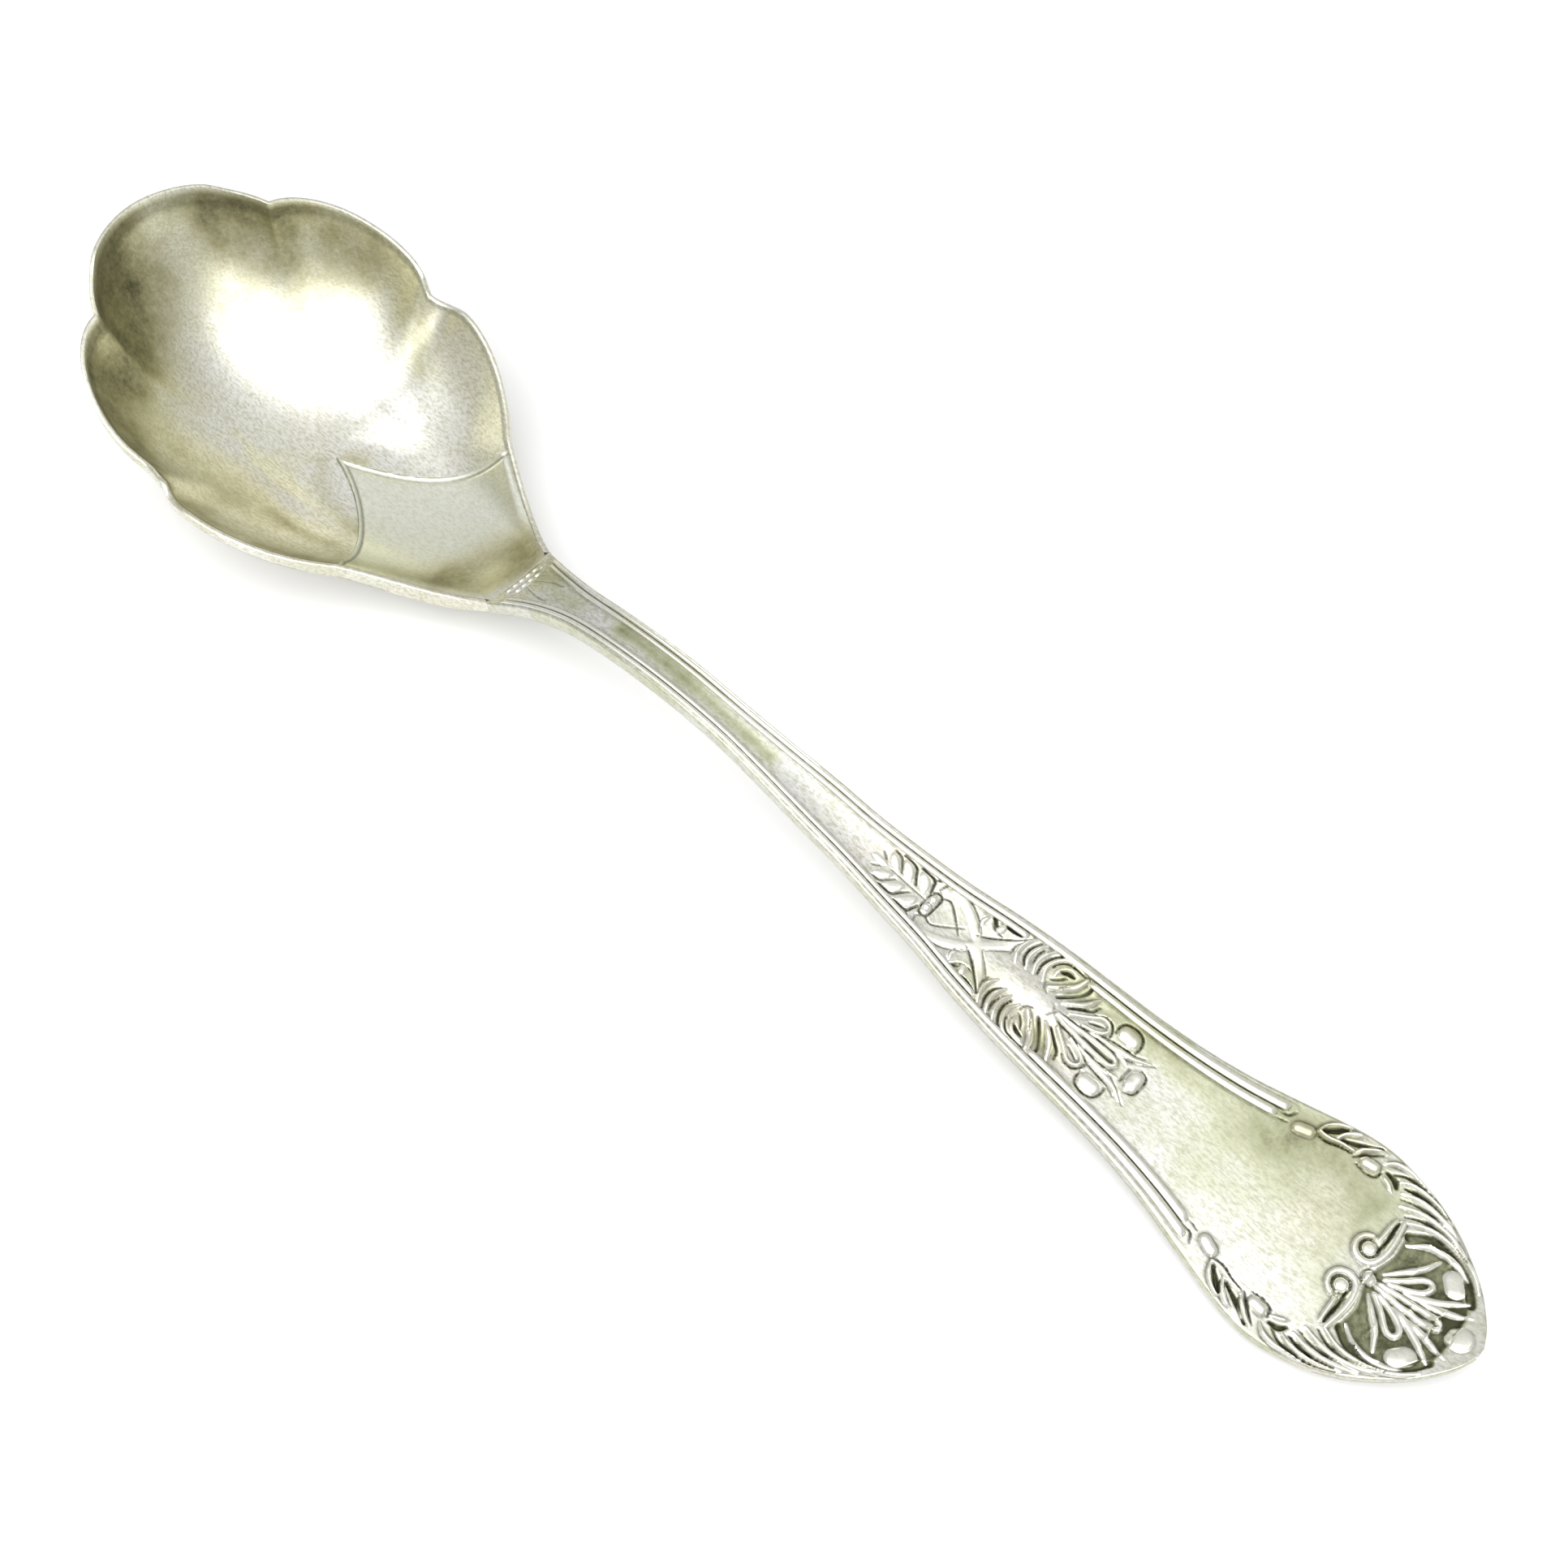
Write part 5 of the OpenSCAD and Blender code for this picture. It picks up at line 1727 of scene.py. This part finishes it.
@dataclass(frozen=True)
class ScrollPalmette(ReliefGroup):
    """Crossing ribbons, leaf fans, flutes, C-scrolls, petals and ovals."""

    name: str = "scroll_relief"
    node: str = "scroll_palmette"
    height: float = 0.3
    line_middle: float = 0.85
    lines: tuple[Groove, ...] = (
        (((100.1, 2.85), (99.55, 2.1), (99.4, 1.5)), 0.1, 0.16),
        (((99.45, 1.5), (99.95, 1.1), (100.7, 1.34), (101.7, 0.68), (102.95, -0.4)),
         0.12, 0.2),
        (((101.3, 2.5), (101.9, 2.5), (102.95, 2.05), (103.9, 1.35), (104.5, 0.72)),
         0.1, 0.15),
        (((104.1, 0.66), (104.95, 1.21), (105.65, 1.75), (106.45, 2.45), (107.2, 3.2)),
         0.14, 0.24),
        (((105.25, -0.1), (106.2, -0.9), (106.9, -1.6)), 0.1, 0.11),
        (((103.65, 2.5), (103.4, 2.0), (103.6, 1.42), (104.05, 1.0)), 0.1, 0.15),
        (((104.2, 2.75), (104.5, 2.3), (105.0, 1.98), (105.7, 2.05)), 0.12, 0.2),
        (((104.05, 2.85), (104.4, 2.65), (104.7, 2.35)), 0.22, 0.28),
        (((105.15, 3.05), (105.8, 2.98), (106.7, 3.15)), 0.2, 0.3),
        (((101.9, 2.55), (103.0, 2.72), (103.7, 2.8)), 0.1, 0.15),
        (((106.95, 1.35), (106.9, 2.2), (107.3, 3.2)), 0.1, 0.14),
        (((108.4, 1.35), (107.95, 2.0), (107.9, 2.9), (108.3, 3.85)), 0.15, 0.26),
        (((108.8, 2.1), (108.62, 2.9), (108.8, 3.6)), 0.12, 0.2),
        (((109.6, 1.5), (109.4, 2.4), (109.6, 3.3), (110.25, 4.25)), 0.15, 0.28),
        (((110.15, 2.9), (110.25, 3.3), (110.65, 3.78), (111.2, 4.05), (112.6, 4.05)),
         0.13, 0.26),
        (((110.95, 3.05), (111.4, 3.3), (111.95, 3.4)), 0.26, 0.36),
        (((110.5, 1.75), (110.65, 1.2), (111.2, 0.85)), 0.1, 0.15),
        (((110.7, 2.0), (111.2, 2.45), (111.6, 3.0)), 0.13, 0.24),
        (((111.7, 1.85), (112.2, 2.6)), 0.13, 0.28),
        (((112.0, 1.15), (112.9, 2.2), (113.5, 3.1), (113.6, 3.7)), 0.3, 0.28),
        (((113.2, 1.1), (114.0, 1.75), (114.75, 2.3), (115.0, 3.0)), 0.22, 0.28),
        (((113.3, 0.42), (114.8, 0.52), (116.0, 0.95), (117.0, 1.38), (118.4, 1.62),
          (119.5, 1.75), (120.2, 2.1)), 0.11, 0.2),
        (((115.2, 1.35), (116.25, 1.85)), 0.14, 0.22),
        (((115.2, 2.2), (115.8, 2.6), (116.5, 2.55), (116.95, 2.0), (117.1, 1.5)),
         0.14, 0.22),
        (((117.2, 2.2), (117.15, 2.9), (117.5, 3.4), (118.4, 3.55), (119.1, 3.3),
          (119.4, 2.6), (119.35, 1.95)), 0.13, 0.24),
        (((118.0, 0.82), (119.1, 0.95), (120.3, 1.6), (121.2, 2.2)), 0.1, 0.14),
        (((116.3, 0.7), (117.8, 0.75), (118.9, 0.4)), 0.08, 0.12),
        (((119.85, 0.75), (119.8, 0.0)), 0.12, 0.2),
        (((120.6, 1.2), (121.25, 0.9), (121.45, 0.0)), 0.13, 0.18),
        (((112.3, 0.6), (112.55, 0.0)), 0.1, 0.12),
    )

    def strokes(self) -> list[Stroke]:
        """Raised forms from the ribbons to the end oval.

        Returns:
            A stroke for each form.
        """
        h = self.height
        band = (0.36, 0.43, 0.45, 0.45, 0.43, 0.36)
        out = [Stroke(((100.4, 2.4), (101.5, 2.1), (102.6, 1.58), (103.9, 0.78), (104.8, -0.15),
                       (105.6, -1.0), (106.5, -2.05), (107.1, -2.85)),
                      band, (0.06, 0.1, 0.13, 0.13, 0.1, 0.07), Section.FLAT)]
        out += [
            leaf(((104.95, 1.85), (105.1, 2.35), (105.3, 2.85)), 0.36, h * 0.6),
            leaf(((103.75, 1.5), (103.55, 2.05), (103.8, 2.6)), 0.3, h * 0.5),
        ]
        flutes = (
            (((107.75, 1.0), (107.25, 1.9), (107.3, 2.9), (107.75, 3.75)), 0.24),
            (((108.7, 1.2), (108.25, 2.1), (108.35, 3.1), (108.8, 4.0)), 0.27),
            (((109.35, 1.3), (109.0, 2.2), (109.1, 3.2), (109.6, 4.15)), 0.22),
            (((110.3, 1.4), (109.85, 2.3), (109.95, 3.1), (110.5, 3.95), (111.4, 4.3),
              (112.3, 4.2)), 0.25),
        )
        out += [leaf(points, half * 1.25, h * 0.9, Section.SOFT) for points, half in flutes]
        out += [
            cord(((112.9, 3.9), (112.6, 3.0), (111.9, 2.15), (111.0, 1.35)), 0.3, h * 0.9),
            leaf(((110.7, 2.3), (110.75, 3.0), (111.3, 3.65), (112.2, 3.75)), 0.22, h * 0.8),
            leaf(((112.6, 1.05), (113.9, 2.15), (114.65, 3.5)), 0.33, h),
            cord(((113.6, 0.75), (115.0, 1.75), (115.7, 2.32), (116.4, 2.3), (116.75, 1.8),
                  (116.2, 1.15), (114.9, 0.75)), 0.2, h * 0.95),
            cord(((112.9, 0.1), (115.0, 0.27), (117.2, 0.42), (118.4, 0.38), (118.85, 0.0)),
                 0.24, h),
            leaf(((115.6, 0.72), (117.2, 1.0), (118.6, 0.95), (119.6, 0.62)), 0.22, h * 0.8),
            leaf(((116.9, 1.1), (118.4, 1.25), (119.7, 1.45), (120.9, 2.1)), 0.24, h * 0.8),
            knob(118.25, 2.62, 1.05, 0.68, h, -4.0),
            knob(120.72, 0.0, 1.02, 0.66, h, 90.0, False),
        ]
        return out

    def swells(self) -> list[Stroke]:
        """The round swell between the crossed ribbons and the petals."""
        return [Stroke(((104.6, 0.0), (108.0, 0.0), (112.8, 0.0)), (0.9, 1.7, 2.3, 2.1, 1.3),
                       (0.0, 0.08, 0.16, 0.18, 0.12), Section.SOFT, False)]

    def pockets(self) -> list[Stroke]:
        """Grooves and dark pockets of the scrolls.

        Returns:
            A stroke for each groove, then the petal's slot and the dip behind it.
        """
        slot = Stroke(((115.6, 0.0), (118.35, 0.0)), (0.08, 0.13, 0.13), (0.2,),
                      Section.SOFT, False)
        dip = Stroke(((112.6, 2.6), (114.4, 2.9), (116.4, 3.3)), (1.3, 1.2, 0.7),
                     (0.16, 0.14, 0.02), Section.SOFT)
        return super().pockets() + [slot, dip]


@dataclass(frozen=True)
class TerminalScrolls(ReliefGroup):
    """Lozenges, loops, beads and long curved leaves along the terminal's edges."""

    name: str = "terminal_edge_relief"
    node: str = "terminal_scrolls"
    lines: tuple[Groove, ...] = (
        (((130.6, 6.2), (131.1, 6.4), (131.4, 7.0)), 0.12, 0.18),
        (((130.6, 5.6), (131.3, 5.85)), 0.09, 0.14),
        (((133.7, 6.6), (134.5, 6.65), (135.4, 7.02), (136.4, 7.2)), 0.13, 0.24),
        (((133.85, 7.25), (134.4, 7.75), (134.85, 8.2), (135.2, 8.5)), 0.3, 0.36),
        (((135.3, 7.6), (136.0, 7.9), (136.5, 8.15), (137.1, 8.5), (138.0, 9.1)),
         0.26, 0.36),
        (((136.6, 7.05), (137.1, 7.6), (137.7, 8.15), (138.4, 8.75)), 0.12, 0.22),
        (((137.1, 6.72), (138.0, 6.62), (138.75, 6.85), (138.95, 7.5)), 0.13, 0.22),
        (((139.3, 7.75), (140.0, 7.65), (140.45, 7.2)), 0.32, 0.38),
        (((139.7, 7.95), (140.6, 8.45), (141.9, 8.5), (143.5, 8.22), (144.9, 7.6)),
         0.15, 0.3),
        (((141.0, 7.6), (142.1, 7.85), (143.3, 7.8), (144.6, 7.45)), 0.2, 0.34),
        (((141.2, 6.7), (142.3, 7.02), (143.6, 7.05), (144.9, 6.75)), 0.11, 0.22),
        (((142.2, 5.72), (143.2, 6.2), (144.5, 6.38), (146.0, 6.05), (147.4, 5.45)),
         0.15, 0.3),
    )

    def strokes(self) -> list[Stroke]:
        """Raised forms along one edge, mirrored to the other.

        Returns:
            A stroke for each form.
        """
        h = self.height
        return [
            knob(132.6, 6.2, 0.98, 0.56, h * 0.9, 22.0),
            cord(((133.55, 6.95), (134.4, 6.98), (135.3, 7.25), (136.4, 7.42)), 0.2, h * 0.9),
            cord(((133.5, 7.1), (133.75, 7.75), (134.4, 8.4), (135.2, 8.8)), 0.17, h * 0.9),
            leaf(((134.85, 7.45), (135.25, 8.15), (136.0, 8.75), (136.6, 8.95)), 0.25, h),
            leaf(((136.6, 7.45), (136.9, 8.0), (137.6, 8.65), (138.5, 9.0)), 0.25, h),
            knob(137.95, 7.38, 0.88, 0.53, h, 8.0),
            leaf(((139.0, 7.3), (139.7, 7.05), (140.35, 6.65)), 0.19, h * 0.7),
            leaf(((138.7, 8.2), (139.4, 8.75), (140.6, 8.95), (141.9, 8.8), (143.4, 8.45)),
                 0.26, h),
            leaf(((140.35, 7.78), (141.2, 8.12), (142.4, 8.2), (143.8, 7.95), (145.2, 7.4)),
                 0.24, h),
            leaf(((141.0, 7.15), (142.2, 7.45), (143.5, 7.45), (144.9, 7.15), (146.1, 6.65)),
                 0.27, h * 0.9),
            leaf(((141.4, 6.2), (142.8, 6.62), (144.2, 6.72), (145.8, 6.4), (147.2, 5.85)),
                 0.27, h * 0.9),
            leaf(((142.2, 5.2), (143.8, 5.92), (145.4, 6.02), (147.0, 5.65), (148.4, 4.85),
                  (149.4, 3.85)), 0.27, h),
        ]


@dataclass(frozen=True)
class TerminalPalmette(ReliefGroup):
    """Boss, volutes, petals, forked leaves and ovals on a sunk ground."""

    name: str = "terminal_palmette_relief"
    node: str = "terminal_palmette"
    height: float = 0.3
    ground_d: float = 0.36
    eye: tuple[float, float] = (141.58, 1.86)
    grounds: tuple[tuple[Points, float], ...] = (
        (((143.75, 0.4), (144.3, 2.4), (144.2, 4.2)), 1.05),
        (((145.2, 0.4), (146.1, 2.6), (145.7, 4.2)), 1.3),
        (((147.0, 1.0), (147.6, 2.4), (147.3, 3.9)), 1.25),
        (((148.9, 0.0), (149.0, 1.2), (148.75, 2.3)), 0.8),
        (((143.3, 4.6), (144.5, 5.35), (146.0, 5.4), (147.4, 4.9), (148.6, 3.9),
          (149.4, 2.8)), 0.36),
    )
    line_ends: float = 0.7
    lines: tuple[Groove, ...] = (
        (((142.15, 1.95), (142.22, 2.7), (142.25, 3.5), (142.15, 4.5), (142.2, 5.0)),
         0.14, 0.34),
        (((142.17, 0.0), (142.4, 0.5), (142.86, 0.69), (143.3, 0.5), (143.53, 0.0)),
         0.07, 0.26),
        (((144.7, 1.05), (145.5, 1.66), (146.3, 2.2)), 0.12, ground_d),
        (((146.6, 1.02), (147.8, 1.46), (149.3, 2.2)), 0.07, 0.24),
    )

    def _ring(self, r: float) -> Points:
        """A closed circle round the volute's eye.

        Args:
            r: the circle's radius.

        Returns:
            Places on the circle.
        """
        turns = [k * math.pi / 6 for k in range(13)]
        return tuple((self.eye[0] + r * math.cos(a), self.eye[1] + r * math.sin(a))
                     for a in turns)

    def strokes(self) -> list[Stroke]:
        """Raised forms that spread from the boss.

        Returns:
            A stroke for each form.
        """
        h = self.height
        return [
            knob(142.86, 0.0, 0.58, 0.56, h, 0.0, False, Section.FLAT),
            knob(*self.eye, 0.6, 0.58, h * 0.9, section=Section.FLAT),
            cord(((142.45, 5.2), (142.65, 4.0), (142.74, 2.8), (142.62, 1.75), (142.25, 0.96),
                  (141.54, 0.72), (140.8, 1.02), (140.48, 1.75), (140.72, 2.5), (141.25, 2.86)),
                 0.29, h * 0.9, Section.FLAT),
            cord(((141.78, 2.95), (141.82, 3.7), (141.85, 4.4), (141.9, 5.05)), 0.22, h * 0.8,
                 Section.FLAT),
            cord(((143.65, 0.17), (145.4, 0.31), (147.1, 0.42), (148.05, 0.44), (148.5, 0.27),
                  (148.6, 0.0)), 0.25, h, Section.FLAT),
            cord(((143.75, 0.7), (144.8, 1.5), (145.8, 2.48), (146.42, 2.64), (146.68, 2.22),
                  (146.35, 1.62), (145.4, 1.06), (144.1, 0.58)), 0.24, h * 0.95, Section.FLAT),
            leaf(((143.45, 1.02), (144.4, 2.05), (145.35, 3.15), (146.05, 4.5)), 0.27, h * 0.95,
                 Section.FLAT),
            leaf(((145.3, 0.68), (146.3, 1.02), (147.7, 1.75), (149.3, 2.9)), 0.3, h * 0.85,
                 Section.FLAT),
            leaf(((146.5, 0.87), (147.5, 1.06), (148.7, 1.42), (150.0, 1.95)), 0.29, h * 0.85,
                 Section.FLAT),
            knob(147.72, 3.6, 1.18, 0.78, h * 0.85, -50.0),
            knob(150.12, 0.0, 1.04, 0.96, h * 0.85, 90.0, False),
            leaf(((143.5, 4.0), (144.55, 4.8), (145.9, 5.15), (147.2, 4.98), (148.35, 4.38)),
                 0.29, h * 0.9, Section.FLAT),
        ]

    def pockets(self) -> list[Stroke]:
        """The sunk ground and the dark lines round the petals.

        Returns:
            Strokes for the ground, the lines and the middle petal's slot.
        """
        floor = [Stroke(points, (half,), (self.ground_d,), Section.FLAT)
                 for points, half in self.grounds]
        slot = Stroke(((144.6, 0.0), (148.15, 0.0)), (0.07, 0.12, 0.13), (self.ground_d,),
                      Section.SOFT, False)
        ring = grooves(((self._ring(0.7), 0.08, 0.24),), self.line_ends)
        return floor + super().pockets() + ring + [slot]


@dataclass(frozen=True)
class Studio:
    """Pale floor, soft lamps, the room's even light and the camera."""

    focal_px: float = 2300.0
    frame_px: float = 1932.0
    sensor_mm: float = 36.0
    camera_at: tuple[float, float, float] = (0.06585, -0.058707, 0.139379)
    right: tuple[float, float, float] = (0.73053545, 0.68269238, -0.01578202)
    down: tuple[float, float, float] = (0.57454409, -0.62697071, -0.52612433)
    forward: tuple[float, float, float] = (-0.36907594, 0.37528501, -0.85026121)
    floor_r: float = 1.6
    floor_flat_r: float = 1.1
    floor_curl: float = 1.2
    floor_drop: float = 0.00002
    floor_glow: float = 0.13
    floor_tones: tuple[Colour, Colour] = ((0.76, 0.76, 0.76), (0.78, 0.78, 0.78))
    room_levels: Points = ((0.0, 1.0), (0.55, 1.0), (0.61, 0.7), (0.72, 0.7), (0.83, 0.8),
                           (0.92, 0.9), (1.0, 1.0))

    def camera(self) -> None:
        """Sets the camera at the photograph's angle."""
        data = bpy.data.cameras.new("camera")
        data.sensor_width = self.sensor_mm
        data.lens = self.focal_px / self.frame_px * self.sensor_mm
        data.clip_start = 0.005
        data.clip_end = 20.0
        obj = bpy.data.objects.new("camera", data)
        bpy.context.scene.collection.objects.link(obj)
        axes = Matrix((self.right, [-v for v in self.down], [-v for v in self.forward]))
        obj.matrix_world = Matrix.Translation(self.camera_at) @ axes.transposed().to_4x4()
        bpy.context.scene.camera = obj

    def floor(self) -> None:
        """Lays a pale floor that keeps the spoon's shadow."""
        rings, sides = 24, 96
        r = np.linspace(0, 1, rings + 1)[1:, None] ** 2 * self.floor_r
        a = np.linspace(0, 2 * math.pi, sides, endpoint=False)[None]
        lift = np.clip(r - self.floor_flat_r, 0, None) ** 2 * self.floor_curl - self.floor_drop
        points = np.stack(np.broadcast_arrays(r * np.cos(a), r * np.sin(a), lift), -1)
        points = np.concatenate([points.reshape(-1, 3), [[0.0, 0.0, -self.floor_drop]]])
        faces = [grid_faces(rings, sides, closed=True, flipped=True),
                 ring_cap(np.arange(sides), rings * sides, False)]
        obj = MeshPiece("pale_floor", points, faces).build()
        material = bpy.data.materials.new("pale_floor")
        material.use_nodes = True
        tree = material.node_tree
        tree.nodes.clear()
        sheet = NodeSheet(tree)
        grain = sheet.add("ShaderNodeTexNoise", {"Scale": 60.0, "Detail": 3.0}).outputs[0]
        tone = sheet.blend(sheet.spread(grain, 0.3, 0.7), *self.floor_tones)
        path = sheet.add("ShaderNodeLightPath")
        seen = sheet.math("MAXIMUM", path.outputs["Is Camera Ray"], path.outputs["Is Glossy Ray"])
        seen = sheet.math("MAXIMUM", seen, path.outputs["Is Transmission Ray"])
        matt = sheet.add("ShaderNodeBsdfDiffuse", {"Color": tone})
        strength = sheet.math("MULTIPLY", seen, self.floor_glow)
        glow = sheet.add("ShaderNodeEmission", {"Color": (1.0, 1.0, 1.0, 1.0),
                                                "Strength": strength})
        both = sheet.add("ShaderNodeAddShader", {0: matt.outputs[0], 1: glow.outputs[0]})
        out = sheet.add("ShaderNodeOutputMaterial")
        tree.links.new(both.outputs[0], out.inputs[0])
        obj.data.materials.append(material)

    def lamp(self, name: str, at: tuple[float, float, float], aim: tuple[float, float, float],
             size: tuple[float, float], watts: float) -> None:
        """Hangs one soft lamp.

        Args:
            name: the lamp's name.
            at: where it hangs.
            aim: the point that it faces.
            size: its width and height.
            watts: its power.
        """
        data = bpy.data.lights.new(name, "AREA")
        data.shape = "RECTANGLE"
        data.size, data.size_y = size
        data.energy = watts
        obj = bpy.data.objects.new(name, data)
        obj.location = at
        way = Vector(aim) - Vector(at)
        obj.rotation_euler = way.to_track_quat("-Z", "Y").to_euler()
        obj.visible_camera = False
        bpy.context.scene.collection.objects.link(obj)

    def room(self) -> None:
        """Gives the room a white horizon, a dim middle and a bright ceiling."""
        world = bpy.data.worlds.new("room")
        bpy.context.scene.world = world
        world.use_nodes = True
        tree = world.node_tree
        tree.nodes.clear()
        sheet = NodeSheet(tree)
        way = sheet.add("ShaderNodeTexCoord").outputs["Generated"]
        parts = sheet.add("ShaderNodeSeparateXYZ", {0: way})
        ramp = sheet.add("ShaderNodeValToRGB", {0: sheet.spread(parts.outputs[2], -1.0, 1.0)})
        elements = ramp.color_ramp.elements
        while len(elements) < len(self.room_levels):
            elements.new(0.5)
        for element, (at, level) in zip(elements, self.room_levels):
            element.position = at
            element.color = (level, level, level, 1.0)
        back = sheet.add("ShaderNodeBackground", {"Color": ramp.outputs[0], "Strength": 1.0})
        out = sheet.add("ShaderNodeOutputWorld")
        tree.links.new(back.outputs[0], out.inputs[0])

    def build(self) -> None:
        """Sets up the whole studio."""
        self.camera()
        self.floor()
        self.room()
        self.lamp("bowl_softbox", (0.02, -0.13, 0.31), (-0.05, 0.0, 0.0), (0.58, 0.46), 1.5)
        bpy.context.scene.view_settings.view_transform = "Standard"


@dataclass
class StruckFace:
    """The ornament: the relief map and the groups and threads that are struck into it."""

    form: SpoonForm
    threads: BorderThreads = BorderThreads()
    groups: tuple[ReliefGroup, ...] = (
        ThroatBeads(), LeafSpray(), ScrollPalmette(), TerminalScrolls(), TerminalPalmette())
    relief: ReliefMap = field(init=False)

    def __post_init__(self) -> None:
        """Strikes every group and the threads into the map."""
        self.relief = ReliefMap(self.form)
        for group in self.groups:
            self.relief.lift(group.swells())
            self.relief.press(group.pockets())
            self.relief.strike(group.name, group.strokes())
        self.relief.strike("threads", self.threads.strokes(self.form))
        self.relief.settle()

    def dress(self, effects: SilverEffects) -> list[bpy.types.Object]:
        """Sets the threads and the groups in the place of their nodes.

        Args:
            effects: the shared node groups.

        Returns:
            The threads, then the groups in their order.
        """
        threads = self.threads.dress(self.relief, effects)
        material = RELIEF_SILVER.material(effects)
        return [threads] + [group.dress(self.relief, material) for group in self.groups]


def main() -> None:
    """Builds the studio and the spoon, and reports each piece."""
    logging.basicConfig(level=logging.INFO, format="%(name)s %(message)s")
    Studio().build()
    effects = SilverEffects()
    form = SpoonForm()
    face = StruckFace(form)
    pieces = Bowl(form).dress(effects) + Handle(face.relief).dress(effects) + face.dress(effects)
    for obj in pieces:
        LOG.info("%s: %d points, %d faces", obj.name, len(obj.data.vertices),
                 len(obj.data.polygons))


if __name__ == "__main__":
    main()
